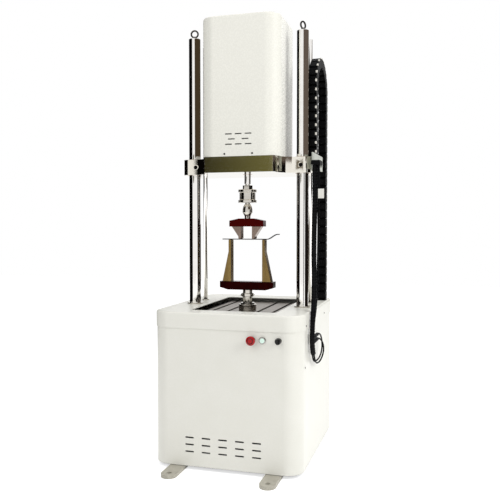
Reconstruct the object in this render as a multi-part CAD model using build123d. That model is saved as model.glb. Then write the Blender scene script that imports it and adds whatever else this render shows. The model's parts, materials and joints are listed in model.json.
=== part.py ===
from build123d import *
import os
from math import cos, pi, radians, sin, sqrt, tan

# A floor-standing fatigue machine that bends small plates with a linear motor.
# Sizes are in millimetres. +Z is up with the floor at Z = 0 and +Y runs to the back.
# The origin lies midway between the four floor holes, at floor level.

# Fits
SEAT = 0.3                 # gap between loose parts that lie side by side
RUNNING = 0.05             # radial clearance of a shaft in its bore
SEAM = 0.6                 # gap between neighbouring panels

# Cabinet
COLUMN_MARGIN = 73.0       # cabinet side beyond a column's distance from the middle
BASE_D = 784.0
BASE_CORNER_R = 75.0
PANEL_SHEET = 2.0
PANEL_RETURN = 17.0        # straight part of a wrapped panel behind its corner
PANEL_LIFT = 2.0           # gap between the feet and the lower panel edge
COVER_TOP_Z = 692.0
COVER_SHEET = 3.0
COVER_SKIRT = 70.0
COVER_EDGE_R = 8.0
FOOT_T = 16.0
FOOT_W = 70.0
FOOT_HOLE_R = 11.0
FOOT_REACH = 93.0          # floor hole in front of the cabinet face
FOOT_SIDE = 119.0          # floor hole in from the cabinet's side
FOOT_INSIDE = 48.0
TUBE = 50.0                # section of the frame tubes
FRAME_INSET = 24.0         # frame posts behind the cabinet faces
RING_DROP = 62.0           # upper frame ring below the base plate, clear of nuts and controls
PLATE_T = 30.0             # steel plate that carries table and columns
RAIL_T = 8.0
RAIL_LEN = 600.0

# Table
MIDDLE_X = 10.0            # machine axis, a little to the right of the cabinet's middle
AXIS_Y = -70.0
TABLE_W = 350.0
TABLE_D = 547.0
TABLE_T = 30.0
TABLE_Y = -22.5
TABLE_RECESS = 20.0        # table surface below the cover
SEAL_SIDE = 22.0
SEAL_END = 8.0
SEAL_DROP = 4.0
OPENING_R = 20.0
SLOT_XS = (-143.0, -70.0, 70.0, 143.0)
SLOT_NECK_W = 14.0
SLOT_NECK_H = 12.0
SLOT_FOOT_W = 24.0
SLOT_FOOT_H = 9.0

# Columns
COLUMN_HALF = 263.0
COLUMN_R = 27.5
COLUMN_TOP_Z = 1955.0
COLUMN_CHAMFER = 2.0
SPIGOT_R = 20.0
NUT_R = 32.0
NUT_H = 25.0
COLLAR_R = 38.0
COLLAR_H = 6.0
ROD_OUT = 4.0              # lifting rods further out than the columns
ROD_BACK = 156.0           # lifting rods behind the columns
ROD_R = 10.5
ROD_COLLAR_R = 17.0
EYE_COLLAR_R = 12.0
EYE_COLLAR_H = 6.0
EYE_MAJOR_R = 16.0
EYE_WIRE_R = 4.0

# Crosshead
HEAD_Z = 1307.0
HEAD_T = 72.0
HEAD_FRONT_Y = -220.0
HEAD_BACK_Y = 125.0
HEAD_BLOCK_IN = 16.0       # crosshead block narrower than the hood, on each side
HEAD_CHAMFER = 8.0
EAR_FRONT_Y = -122.0
EAR_INNER = 31.0           # flat front of an ear, inwards from its column
EAR_OUTER = 43.0           # ear's end, outwards from its column
EAR_FRONT_R = 28.0
EAR_BACK_R = 20.0
BUSH_WALL = 7.5
BUSH_LIP_R = 37.0
BUSH_LIP_H = 3.0
CLAMP_HOLE_R = 12.0
CLAMP_HOLE_DEPTH = 12.0
CLAMP_HEAD_R = 9.0
CLAMP_HEAD_H = 8.0
CLAMP_SOCKET_R = 4.5
CLAMP_LEFT_TURN = 24.0     # degrees off the front, on the left ear
CLAMP_RIGHT_TURN = 0.0

# Hood over the motor
HOOD_HALF = 184.0
HOOD_D = 345.0
HOOD_H = 631.0
HOOD_R = 65.0
HOOD_SHEET = 2.0
HOOD_EDGE_R = 10.0
HOOD_VENT_Z = 77.0         # middle vent row above the hood's lower edge
HOOD_VENT_L = 32.0
HOOD_VENT_H = 5.0
HOOD_VENT_ROWS = 23.0
HOOD_VENT_PITCH = 46.0
HOOD_VENT_MID = 32.0
HOOD_SCREW_X = 65.0
HOOD_SCREW_Z = 11.0
SCREW_R = 4.0
SCREW_H = 2.5

# Linear motor and its rod
MOTOR_R = 120.0
MOTOR_H = 470.0
MOTOR_WALL = 16.0
MOTOR_FLANGE_R = 140.0
MOTOR_FLANGE_T = 18.0
MOTOR_LID_T = 16.0
COIL_WALL = 34.0
COIL_H = 330.0
MOVER_GAP = 1.0
MOVER_H = 260.0
STROKE = 50.0
ROD_SHAFT_R = 15.0
ROD_BUSH_R = 23.0
ROD_BUSH_LIP_R = 34.0
ROD_BUSH_LIP_H = 6.0
ROD_NECK_Z = 1262.0
ROD_NECK_R = 11.0
ROD_NECK_H = 6.0

# Load train under the crosshead
LOCK_NUT_R = 24.0
LOCK_NUT_H = 19.0
CELL_R = 43.5
CELL_H = 63.0
CELL_RIM_H = 13.0
CELL_WAIST_R = 38.0
CELL_STUD_R = 12.0
CELL_STUD_H = 7.0
JOINT_H = 54.0
JOINT_TOP_R = 15.0
JOINT_NECK_R = 20.0
JOINT_NECK_Z = 44.0        # steps of the housing above its lower end
JOINT_BULGE_R = 23.5
JOINT_BULGE_Z = 17.0
JOINT_BAND_Z = 31.0
JOINT_NOSE_R = 18.0
JOINT_NOSE_H = 6.0
JOINT_STEM_R = 14.0
JOINT_STEM_H = 12.0

# Bending fixture
FIXTURE_D = 42.0
ARM_D = 30.0
UPPER_BEAM_W = 163.0
UPPER_BEAM_H = 37.5
UPPER_SLOPE_L = 35.0
UPPER_SLOPE_H = 10.0
UPPER_ARM_IN = 24.0
UPPER_ARM_TIP = 10.0
UPPER_ARM_ROOT = 35.0
UPPER_ARM_TAPER = 34.0
LOWER_BEAM_W = 258.0
LOWER_BEAM_H = 39.0
LOWER_SLOPE_L = 38.0
LOWER_SLOPE_H = 22.0
LOWER_ARM_IN = 70.0
LOWER_ARM_TIP = 10.0
LOWER_ARM_ROOT = 36.0
LOWER_ARM_H = 197.0
LOWER_ARM_STRAIGHT = 66.0
TIP_R = 3.0
STEM_R = 23.0
STEM_H = 61.0
FLANGE_R = 41.5
FLANGE_H = 33.0
FLANGE_STEP_R = 33.0
FLANGE_STEP_H = 7.0
RING_R = 30.0
RING_H = 16.0
RING_Z = 29.0              # lower face of the lock ring above the flange
RING_PIN_R = 3.5
RING_PIN_OUT = 6.0
STRIP_T = 4.0
STRIP_W = 25.0
STRIP_LEFT = 117.0
STRIP_RIGHT = 132.0
STRIP_BEND_R = 12.0
STRIP_TIP_X = 142.0
STRIP_RISE = 22.0

# Controls on the front panel
CONTROL_Z = 585.0
ESTOP_IN = 212.0           # controls in from the cabinet's right side
LAMP_IN = 166.0
SELECTOR_IN = 97.0
CONTROL_HOLE_R = 11.25
CONTROL_BARREL_R = 11.0
CONTROL_BARREL_L = 14.0
CONTROL_BLOCK_W = 29.0
CONTROL_BLOCK_L = 38.0
BEZEL_H = 4.0
ESTOP_BEZEL_R = 15.0
ESTOP_COLLAR_R = 11.0
ESTOP_COLLAR_H = 10.0
ESTOP_STEM_R = 5.0
ESTOP_TRAVEL = 5.0
ESTOP_HEAD_R = 20.0
ESTOP_HEAD_H = 13.0
ESTOP_SKIRT_R = 15.0
ESTOP_CROWN_H = 4.0        # sloping rim of the head, along and across its axis
ESTOP_CROWN_W = 6.0
LAMP_BEZEL_R = 15.0
LAMP_BEZEL_H = 8.0
LAMP_CAP_R = 10.0
LAMP_TRAVEL = 3.0
SELECTOR_BEZEL_R = 14.5
KNOB_R = 12.5
KNOB_H = 14.0
KNOB_GRIP_W = 7.0
KNOB_GRIP_H = 10.0
KNOB_SHAFT_R = 4.0

# Vents
VENT_L = 40.0
VENT_H = 6.5
VENT_COLUMNS = 5
VENT_ROWS = 3
VENT_PITCH_X = 75.9
VENT_PITCH_Z = 31.0
VENT_X = -8.0
VENT_Z = 113.0

# Inside and at the back of the cabinet
SHELF_T = 3.0
DRIVE_W = 120.0
DRIVE_D = 230.0
DRIVE_H = 320.0
DRIVE_X = -110.0
DRIVE_FINS = 7
FIN_T = 3.0
FIN_REACH = 20.0
SUPPLY_W = 180.0
SUPPLY_D = 230.0
SUPPLY_H = 140.0
SUPPLY_X = 110.0
FAN_W = 120.0
FAN_D = 38.0
FAN_BORE_R = 56.0
FAN_X = -150.0
FAN_Z = 220.0
FAN_HUB_R = 21.0
FAN_TIP_GAP = 2.0
FAN_BLADES = 7
FAN_BLADE_T = 2.5
FAN_BLADE_PITCH = 38.0
FAN_ROTOR_D = 22.0
FAN_SHAFT_R = 3.0
FAN_SPIDER_T = 5.0
FAN_GRILLE_ROWS = 8
FAN_GRILLE_PITCH = 12.0
FAN_GRILLE_R = 50.0
GLAND_X = 200.0
GLAND_Z = 110.0
GLAND_BORE_R = 6.0
GLAND_BODY_R = 10.0
GLAND_NUT_R = 13.0
GLAND_NUT_H = 8.0
GLAND_CAP_H = 16.0
GLAND_INSIDE = 12.0

# Screws of the cover and side panels, on each side
COVER_SCREW_Z = 641.0
COVER_SCREW_Y = 82.0       # first screw behind the cabinet's front
COVER_SCREW_PITCH = 444.0
PANEL_SCREW_Z = 462.0

# Cable chain beside the right column
CHAIN_OUT = 17.5           # chain's left face, outwards from the column's axis
CHAIN_W = 39.0
CHAIN_H = 46.0
CHAIN_BEND_R = 130.0
CHAIN_FRONT_Y = -37.0      # front face of the moving run
CHAIN_BEND_Z = 1714.0
CHAIN_BEND_LINKS = 10
CHAIN_NOTCH = 6.0
CHAIN_WALL = 4.0
CHAIN_GAP = 0.6

# Bracket on the right end of the crosshead
BRACKET_T = 5.0
BRACKET_OFF = 14.0
BRACKET_Z = 1325.0
BRACKET_H = 70.0
BRACKET_FRONT_Y = -148.0
BRACKET_BACK_Y = 99.0
BRACKET_PAD_FRONT_Y = -86.0
BRACKET_PAD_BACK_Y = 60.0
BRACKET_PAD_H = 44.0
BRACKET_BOLT_R = 5.0
BRACKET_BOLT_H = 8.0

# Cables on the right-hand side
BUNDLE_D = 22.0
LEAD_D = 7.0
CLAMP_BODY_D = 48.0
CLAMP_FRONT = 21.0
CLAMP_LAP = 20.0           # length of the clamp's foot on the bracket
CLAMP_BODY_H = 34.0
TAG_X = 367.0
TAG_Y = -192.0
TAG_Z = 1197.0
TAG_W = 34.0
TAG_T = 3.0
TAG_H = 48.0
TAG_STRAP_W = 8.0
PLUG_R = 8.0
PLUG_Y = -196.0
PLUG_END_Y = -117.0
PLUG_X_OUT = 16.0
PLUG_UPPER_Z = 577.0
PLUG_LOWER_Z = 556.0
SOCKET_R = 10.0
SOCKET_H = 4.0
CORD_ARC_SHARE = 0.45
BUNDLE_ROUTE = (
    (350.0, -178.0, 1345.0),
    (350.0, -179.5, 1285.0),
    (352.0, -184.0, 1225.0),
    (354.0, -192.0, 1168.0),
    (354.0, -200.0, 1110.0),
    (353.0, -206.0, 1050.0),
    (353.0, -209.0, 990.0),
    (352.0, -206.0, 930.0),
    (353.0, -203.0, 870.0),
    (354.0, -204.0, 810.0),
    (354.0, -209.0, 750.0),
    (353.0, -220.0, 692.0),
    (353.0, -237.0, 636.0),
    (353.0, -246.0, 582.0),
    (353.0, -240.0, 540.0),
    (353.0, -221.0, 508.0),
)
UPPER_LEAD_ROUTE = (
    (352.0, -117.0, 577.0),
    (352.0, -92.0, 577.0),
    (353.0, -64.0, 572.0),
    (355.0, -40.0, 558.0),
    (357.0, -24.0, 534.0),
    (358.0, -22.0, 506.0),
    (357.0, -38.0, 481.0),
    (355.0, -66.0, 466.0),
    (353.0, -100.0, 460.0),
    (351.0, -136.0, 460.0),
    (350.0, -170.0, 463.0),
    (349.3, -202.6, 477.0),
    (349.3, -220.85, 507.74),
)
LOWER_LEAD_ROUTE = (
    (352.0, -117.0, 556.0),
    (352.0, -92.0, 556.0),
    (358.0, -66.0, 547.0),
    (364.0, -46.0, 530.0),
    (368.0, -38.0, 506.0),
    (368.0, -46.0, 482.0),
    (365.0, -66.0, 464.0),
    (362.0, -94.0, 453.0),
    (359.0, -128.0, 450.0),
    (357.5, -165.0, 455.0),
    (356.7, -202.6, 477.0),
    (356.7, -220.85, 507.74),
)

# Places that follow from the sizes above
BASE_W = 2 * (COLUMN_HALF + COLUMN_MARGIN)
ROD_HALF = COLUMN_HALF + ROD_OUT
HEAD_BLOCK_HALF = HOOD_HALF - HEAD_BLOCK_IN
EAR_FLAT_X = COLUMN_HALF - EAR_INNER
EAR_OUT_X = COLUMN_HALF + EAR_OUTER
PANEL_Z = FOOT_T + PANEL_LIFT
COVER_PROUD = COVER_SHEET + SEAT
PANEL_TOP_Z = COVER_TOP_Z - COVER_EDGE_R - SEAM
TABLE_TOP_Z = COVER_TOP_Z - TABLE_RECESS
PLATE_TOP_Z = TABLE_TOP_Z - TABLE_T
FRAME_TOP_Z = PLATE_TOP_Z - PLATE_T
FRAME_W = BASE_W - 2 * FRAME_INSET
FRAME_D = BASE_D - 2 * FRAME_INSET
FRONT_Y = -BASE_D / 2
BACK_Y = BASE_D / 2
SIDE_X = BASE_W / 2
FOOT_SPREAD = 2 * (SIDE_X - FOOT_SIDE)
ESTOP_X = SIDE_X - ESTOP_IN
LAMP_X = SIDE_X - LAMP_IN
SELECTOR_X = SIDE_X - SELECTOR_IN
CHAIN_X = MIDDLE_X + COLUMN_HALF + CHAIN_OUT
OPENING_W = TABLE_W + 2 * SEAL_SIDE
OPENING_D = TABLE_D + 2 * SEAL_END
BUSH_R = COLUMN_R + BUSH_WALL
ROD_Y = AXIS_Y + ROD_BACK
HEAD_TOP_Z = HEAD_Z + HEAD_T
FLANGE_TOP_Z = TABLE_TOP_Z + FLANGE_H
LOWER_BEAM_Z = FLANGE_TOP_Z + STEM_H
LOWER_ARM_Z = LOWER_BEAM_Z + LOWER_BEAM_H
STRIP_Z = LOWER_ARM_Z + LOWER_ARM_H
UPPER_TIP_Z = STRIP_Z + STRIP_T + SEAT
CELL_TOP_Z = ROD_NECK_Z - ROD_NECK_H - LOCK_NUT_H
JOINT_TOP_Z = CELL_TOP_Z - CELL_H - CELL_STUD_H
UPPER_BEAM_TOP_Z = JOINT_TOP_Z - JOINT_H - JOINT_STEM_H
UPPER_BEAM_Z = UPPER_BEAM_TOP_Z - UPPER_BEAM_H
COIL_R = MOTOR_R - MOTOR_WALL
COIL_BORE_R = COIL_R - COIL_WALL
MOTOR_Z = HEAD_TOP_Z + MOTOR_FLANGE_T
CHAIN_PITCH = 2 * CHAIN_BEND_R * sin(pi / CHAIN_BEND_LINKS / 2)
CHAIN_AXIS_Y = CHAIN_FRONT_Y + CHAIN_H / 2 + CHAIN_BEND_R
FIXED_LINKS = int((CHAIN_BEND_Z - COVER_TOP_Z) / CHAIN_PITCH)
MOVING_LINKS = int((CHAIN_BEND_Z - HEAD_TOP_Z) / CHAIN_PITCH)
FIXED_RUN_Z = CHAIN_BEND_Z - FIXED_LINKS * CHAIN_PITCH
MOVING_RUN_Z = CHAIN_BEND_Z - MOVING_LINKS * CHAIN_PITCH
PLUG_X = SIDE_X + PLUG_X_OUT
COVER_SCREW_YS = (FRONT_Y + COVER_SCREW_Y, FRONT_Y + COVER_SCREW_Y + COVER_SCREW_PITCH)


def slab(width, depth, bottom, top, radius=0.0, at=(0.0, 0.0)):
    """A flat-lying plate with rounded upright corners."""
    outline = RectangleRounded(width, depth, radius) if radius else Rectangle(width, depth)
    return Pos(at[0], at[1], bottom) * extrude(outline, top - bottom)


def disc(radius, bottom, top, at=(0.0, 0.0)):
    """An upright cylinder."""
    return Pos(at[0], at[1], bottom) * extrude(Circle(radius), top - bottom)


def box(low, high):
    """A box between two corners."""
    size = [b - a for a, b in zip(low, high)]
    return Pos(*low) * Box(*size, align=(Align.MIN, Align.MIN, Align.MIN))


def pin_back(radius, front, back, x, z):
    """A cylinder that lies along Y."""
    return Pos(x, front, z) * Rot(-90, 0, 0) * extrude(Circle(radius), back - front)


def pin_side(radius, start, end, y, z):
    """A cylinder that lies along X."""
    return Pos(start, y, z) * Rot(0, 90, 0) * extrude(Circle(radius), end - start)


def turned(points, x, y):
    """A solid turned about an upright axis from (radius, height) points."""
    profile = make_face(Polyline(*[(r, 0, z) for r, z in points], close=True))
    return Pos(x, y, 0) * revolve(profile, Axis.Z)


def upright_slots(places, length, height, front, back):
    """Rounded slots through a wall that faces the front or the back."""
    outline = SlotOverall(length, height)
    return [Pos(x, front, z) * Rot(90, 0, 0) * extrude(outline, front - back) for x, z in places]


def both_sides(half, x=MIDDLE_X):
    """The two places at equal distances from the machine axis."""
    return (x - half, x + half)


def base_frame():
    """Welded tube frame with a rounded lower ring that the panels close on."""
    ring_w = BASE_W - 2 * PANEL_SHEET - 2 * SEAT
    ring_d = BASE_D - 2 * PANEL_SHEET - 2 * SEAT
    ring_r = BASE_CORNER_R - PANEL_SHEET - SEAT
    frame = slab(ring_w, ring_d, FOOT_T, FOOT_T + TUBE, ring_r)
    frame -= slab(ring_w - 2 * TUBE, ring_d - 2 * TUBE, FOOT_T, FOOT_T + TUBE, ring_r / 2)
    upper_z = FRAME_TOP_Z - RING_DROP
    upper_ring = slab(FRAME_W, FRAME_D, upper_z - TUBE, upper_z)
    upper_ring -= slab(FRAME_W - 2 * TUBE, FRAME_D - 2 * TUBE, upper_z - TUBE, upper_z)
    frame += upper_ring
    for x in (-1, 1):
        for y in (-1, 1):
            place = (x * (FRAME_W - TUBE) / 2, y * (FRAME_D - TUBE) / 2)
            frame += slab(TUBE, TUBE, FOOT_T, FRAME_TOP_Z, at=place)
    return frame


def floor_feet():
    """Four floor tabs with a round end and one hole each."""
    feet = []
    for x in (-FOOT_SPREAD / 2, FOOT_SPREAD / 2):
        for side in (-1, 1):
            hole_y = side * (BASE_D / 2 + FOOT_REACH)
            inner_y = side * (BASE_D / 2 - FOOT_INSIDE)
            middle = (hole_y + inner_y) / 2
            foot = slab(FOOT_W, abs(hole_y - inner_y), 0, FOOT_T, at=(x, middle))
            foot += disc(FOOT_W / 2, 0, FOOT_T, (x, hole_y))
            foot -= disc(FOOT_HOLE_R, 0, FOOT_T, (x, hole_y))
            feet.append(foot)
    return feet


def wrapped_shell():
    """The cabinet's four walls as one bent sheet, before it is cut into panels."""
    shell = slab(BASE_W, BASE_D, PANEL_Z, PANEL_TOP_Z, BASE_CORNER_R)
    inner_w = BASE_W - 2 * PANEL_SHEET
    inner_d = BASE_D - 2 * PANEL_SHEET
    shell -= slab(inner_w, inner_d, PANEL_Z, PANEL_TOP_Z, BASE_CORNER_R - PANEL_SHEET)
    return shell


def seam_y():
    """Distance of the panel seams from the cabinet's middle."""
    return BASE_D / 2 - BASE_CORNER_R - PANEL_RETURN


def front_panel(shell):
    """Front with both front corners, vents and the holes for the controls."""
    panel = shell & box((-BASE_W, -BASE_D, 0), (BASE_W, -seam_y() - SEAM / 2, COVER_TOP_Z))
    places = []
    for column in range(VENT_COLUMNS):
        for row in range(VENT_ROWS):
            x = VENT_X + (column - (VENT_COLUMNS - 1) / 2) * VENT_PITCH_X
            z = VENT_Z + (row - (VENT_ROWS - 1) / 2) * VENT_PITCH_Z
            places.append((x, z))
    panel -= upright_slots(places, VENT_L, VENT_H, FRONT_Y + 2 * PANEL_SHEET, FRONT_Y - PANEL_SHEET)
    for x in (ESTOP_X, LAMP_X, SELECTOR_X):
        panel -= pin_back(CONTROL_HOLE_R, FRONT_Y - 1, FRONT_Y + PANEL_SHEET + 1, x, CONTROL_Z)
    return panel


def rear_panel(shell):
    """Back with both rear corners, the fan's vent and the mains cable's hole."""
    panel = shell & box((-BASE_W, seam_y() + SEAM / 2, 0), (BASE_W, BASE_D, COVER_TOP_Z))
    for row in range(FAN_GRILLE_ROWS):
        offset = (row - (FAN_GRILLE_ROWS - 1) / 2) * FAN_GRILLE_PITCH
        length = 2 * sqrt(FAN_GRILLE_R ** 2 - offset ** 2)
        place = [(FAN_X, FAN_Z + offset)]
        panel -= upright_slots(place, length, VENT_H, BACK_Y + PANEL_SHEET, BACK_Y - 2 * PANEL_SHEET)
    panel -= pin_back(GLAND_BODY_R + SEAT, BACK_Y - 2 * PANEL_SHEET, BACK_Y + 1, GLAND_X, GLAND_Z)
    return panel


def side_panel(shell, side):
    """One flat side between the two wrapped panels."""
    low_x, high_x = sorted((0.0, side * BASE_W))
    reach = seam_y() - SEAM / 2
    return shell & box((low_x, -reach, 0), (high_x, reach, COVER_TOP_Z))


def top_cover():
    """Skirted cover with the table opening and the holes for columns and rods."""
    width = BASE_W + 2 * COVER_PROUD
    depth = BASE_D + 2 * COVER_PROUD
    radius = BASE_CORNER_R + COVER_PROUD
    bottom = COVER_TOP_Z - COVER_SKIRT
    cover = slab(width, depth, bottom, COVER_TOP_Z, radius)
    cover = fillet(cover.edges().group_by(Axis.Z)[-1], COVER_EDGE_R)
    hollow = slab(width - 2 * COVER_SHEET, depth - 2 * COVER_SHEET, bottom,
                  COVER_TOP_Z - COVER_SHEET, radius - COVER_SHEET)
    hollow = fillet(hollow.edges().group_by(Axis.Z)[-1], COVER_EDGE_R - COVER_SHEET)
    cover -= hollow
    cover -= slab(OPENING_W, OPENING_D, bottom, COVER_TOP_Z, OPENING_R, (MIDDLE_X, TABLE_Y))
    for x in both_sides(COLUMN_HALF):
        cover -= disc(COLUMN_R + 2, bottom, COVER_TOP_Z, (x, AXIS_Y))
    for x in both_sides(ROD_HALF):
        cover -= disc(ROD_R + 2, bottom, COVER_TOP_Z, (x, ROD_Y))
    return cover


def base_plate():
    """Thick plate on the frame, bored for the column spigots, and the two cover rails."""
    plate = slab(FRAME_W, FRAME_D, FRAME_TOP_Z, PLATE_TOP_Z, OPENING_R)
    for side in (-1, 1):
        rail_x = side * (FRAME_W - RAIL_T) / 2
        rail_top = COVER_TOP_Z - COVER_SHEET
        plate += slab(RAIL_T, RAIL_LEN, PLATE_TOP_Z, rail_top, at=(rail_x, 0))
    for x in both_sides(COLUMN_HALF):
        plate -= disc(SPIGOT_R + RUNNING, FRAME_TOP_Z, PLATE_TOP_Z, (x, AXIS_Y))
    return plate


def t_slot_table():
    """Table plate with four T-slots that run from front to back."""
    table = slab(TABLE_W, TABLE_D, PLATE_TOP_Z, TABLE_TOP_Z, OPENING_R - SEAL_END, (MIDDLE_X, TABLE_Y))
    neck_z = TABLE_TOP_Z - SLOT_NECK_H
    for slot_x in SLOT_XS:
        place = (MIDDLE_X + slot_x, TABLE_Y)
        table -= slab(SLOT_NECK_W, TABLE_D, neck_z, TABLE_TOP_Z, at=place)
        table -= slab(SLOT_FOOT_W, TABLE_D, neck_z - SLOT_FOOT_H, neck_z, at=place)
    return table


def table_seal():
    """Black rubber frame that closes the gap between table and cover."""
    place = (MIDDLE_X, TABLE_Y)
    top = TABLE_TOP_Z - SEAL_DROP
    seal = slab(OPENING_W - 2 * SEAT, OPENING_D - 2 * SEAT, PLATE_TOP_Z, top, OPENING_R, place)
    seal -= slab(TABLE_W + 2 * SEAT, TABLE_D + 2 * SEAT, PLATE_TOP_Z, top, OPENING_R - SEAL_END, place)
    return seal


def column(x):
    """One guide column with the spigot that goes through the base plate."""
    return turned([(0, FRAME_TOP_Z - NUT_H), (SPIGOT_R, FRAME_TOP_Z - NUT_H),
                   (SPIGOT_R, PLATE_TOP_Z), (COLUMN_R, PLATE_TOP_Z),
                   (COLUMN_R, COLUMN_TOP_Z - COLUMN_CHAMFER),
                   (COLUMN_R - COLUMN_CHAMFER, COLUMN_TOP_Z), (0, COLUMN_TOP_Z)], x, AXIS_Y)


def column_nuts():
    """Nuts under the base plate that hold the columns down."""
    nuts = []
    for x in both_sides(COLUMN_HALF):
        nut = Pos(x, AXIS_Y, FRAME_TOP_Z - NUT_H) * extrude(RegularPolygon(NUT_R, 6), NUT_H)
        nuts.append(nut - disc(SPIGOT_R + RUNNING, FRAME_TOP_Z - NUT_H, FRAME_TOP_Z, (x, AXIS_Y)))
    return nuts


def column_collars():
    """Rings that dress the holes where columns and rods leave the cover."""
    collars = []
    rows = ((COLUMN_HALF, AXIS_Y, COLUMN_R, COLLAR_R), (ROD_HALF, ROD_Y, ROD_R, ROD_COLLAR_R))
    for half, y, shaft_r, outer_r in rows:
        for x in both_sides(half):
            ring = disc(outer_r, COVER_TOP_Z, COVER_TOP_Z + COLLAR_H, (x, y))
            ring = chamfer(ring.edges().group_by(Axis.Z)[-1], COLLAR_H / 4)
            collars.append(ring - disc(shaft_r + SEAT, COVER_TOP_Z, COVER_TOP_Z + COLLAR_H, (x, y)))
    return collars


def lifting_rods():
    """Thin rods behind the columns."""
    rods = []
    for x in both_sides(ROD_HALF):
        rods.append(turned([(0, PLATE_TOP_Z), (ROD_R, PLATE_TOP_Z),
                            (ROD_R, COLUMN_TOP_Z - COLUMN_CHAMFER),
                            (ROD_R - COLUMN_CHAMFER, COLUMN_TOP_Z), (0, COLUMN_TOP_Z)], x, ROD_Y))
    return rods


def eye_bolts():
    """Lifting eyes on the column tops."""
    bolts = []
    ring_z = COLUMN_TOP_Z + EYE_COLLAR_H + EYE_MAJOR_R + EYE_WIRE_R / 2
    for x in both_sides(COLUMN_HALF):
        bolt = disc(EYE_COLLAR_R, COLUMN_TOP_Z, COLUMN_TOP_Z + EYE_COLLAR_H, (x, AXIS_Y))
        bolt += Pos(x, AXIS_Y, ring_z) * Rot(90, 0, 0) * Torus(EYE_MAJOR_R, EYE_WIRE_R)
        bolts.append(bolt)
    return bolts


def crosshead_outline():
    """Half of the plan view, on the right of the machine axis."""
    block = Line((0, HEAD_FRONT_Y), (HEAD_BLOCK_HALF - HEAD_CHAMFER, HEAD_FRONT_Y))
    corner = Line(block @ 1, (HEAD_BLOCK_HALF, HEAD_FRONT_Y + HEAD_CHAMFER))
    sweep_x = EAR_FLAT_X - HEAD_BLOCK_HALF
    sweep_y = EAR_FRONT_Y - HEAD_FRONT_Y - HEAD_CHAMFER
    middle = (EAR_FLAT_X - sweep_x * cos(pi / 4), EAR_FRONT_Y - sweep_y * (1 - sin(pi / 4)))
    hollow = ThreePointArc(corner @ 1, middle, (EAR_FLAT_X, EAR_FRONT_Y))
    rest = Polyline(hollow @ 1, (EAR_OUT_X, EAR_FRONT_Y), (EAR_OUT_X, HEAD_BACK_Y), (0, HEAD_BACK_Y))
    close = Line(rest @ 1, block @ 0)
    return make_face(Curve() + [block, corner, hollow, rest, close])


def clamp_hole(x, turn, radius, start, end):
    """A cylinder on a line that starts at a column's axis and leaves through the ear's front."""
    place = Pos(MIDDLE_X + x, AXIS_Y, HEAD_Z + HEAD_T / 2) * Rot(0, 0, turn) * Rot(90, 0, 0)
    return place * Pos(0, 0, start) * extrude(Circle(radius), end - start)


def clamp_places():
    """Where the two clamping screws sit: column offset, turn and start of the counterbore."""
    wall = AXIS_Y - EAR_FRONT_Y
    places = []
    for x, turn in ((-COLUMN_HALF, CLAMP_LEFT_TURN), (COLUMN_HALF, CLAMP_RIGHT_TURN)):
        places.append((x, turn, wall / cos(radians(turn)) - CLAMP_HOLE_DEPTH))
    return places


def crosshead_plate():
    """Polished plate that slides on the columns and carries the motor."""
    half = extrude(crosshead_outline(), HEAD_T)
    outer = half.edges().filter_by(Axis.Z).sort_by(Axis.X)[-2:].sort_by(Axis.Y)
    half = fillet(outer[0], EAR_FRONT_R)
    outer = half.edges().filter_by(Axis.Z).sort_by(Axis.Y)[-2:].sort_by(Axis.X)
    half = fillet(outer[-1], EAR_BACK_R)
    plate = Pos(MIDDLE_X, 0, HEAD_Z) * (half + mirror(half, Plane.YZ))
    for x in both_sides(COLUMN_HALF):
        plate -= disc(BUSH_R, HEAD_Z, HEAD_TOP_Z, (x, AXIS_Y))
    for x in both_sides(ROD_HALF):
        plate -= disc(ROD_R + RUNNING, HEAD_Z, HEAD_TOP_Z, (x, ROD_Y))
    plate -= disc(ROD_BUSH_R, HEAD_Z, HEAD_TOP_Z, (MIDDLE_X, AXIS_Y))
    for x, turn, start in clamp_places():
        plate -= clamp_hole(x, turn, CLAMP_HOLE_R, start, start + 2 * CLAMP_HOLE_DEPTH)
    return plate


def clamp_screws():
    """Socket screws sunk in the ears."""
    screws = []
    for x, turn, start in clamp_places():
        screw = clamp_hole(x, turn, CLAMP_HEAD_R, start, start + CLAMP_HEAD_H)
        screw -= clamp_hole(x, turn, CLAMP_SOCKET_R, start + CLAMP_HEAD_H / 2, start + CLAMP_HEAD_H)
        screws.append(screw)
    return screws


def column_bushes():
    """Bronze guide bushes in the ears, with a lip above the plate."""
    bushes = []
    for x in both_sides(COLUMN_HALF):
        bush = disc(BUSH_R, HEAD_Z, HEAD_TOP_Z, (x, AXIS_Y))
        bush += disc(BUSH_LIP_R, HEAD_TOP_Z, HEAD_TOP_Z + BUSH_LIP_H, (x, AXIS_Y))
        bore_top = HEAD_TOP_Z + BUSH_LIP_H
        bushes.append(bush - disc(COLUMN_R + RUNNING, HEAD_Z, bore_top, (x, AXIS_Y)))
    return bushes


def hood_places():
    """Vents of the hood, in three staggered rows, as places on its front."""
    middle_z = HEAD_TOP_Z + HOOD_VENT_Z
    places = [(MIDDLE_X - HOOD_VENT_MID, middle_z), (MIDDLE_X + HOOD_VENT_MID, middle_z)]
    for row in (-1, 1):
        for step in (-1, 0, 1):
            places.append((MIDDLE_X + step * HOOD_VENT_PITCH, middle_z + row * HOOD_VENT_ROWS))
    return places


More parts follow.
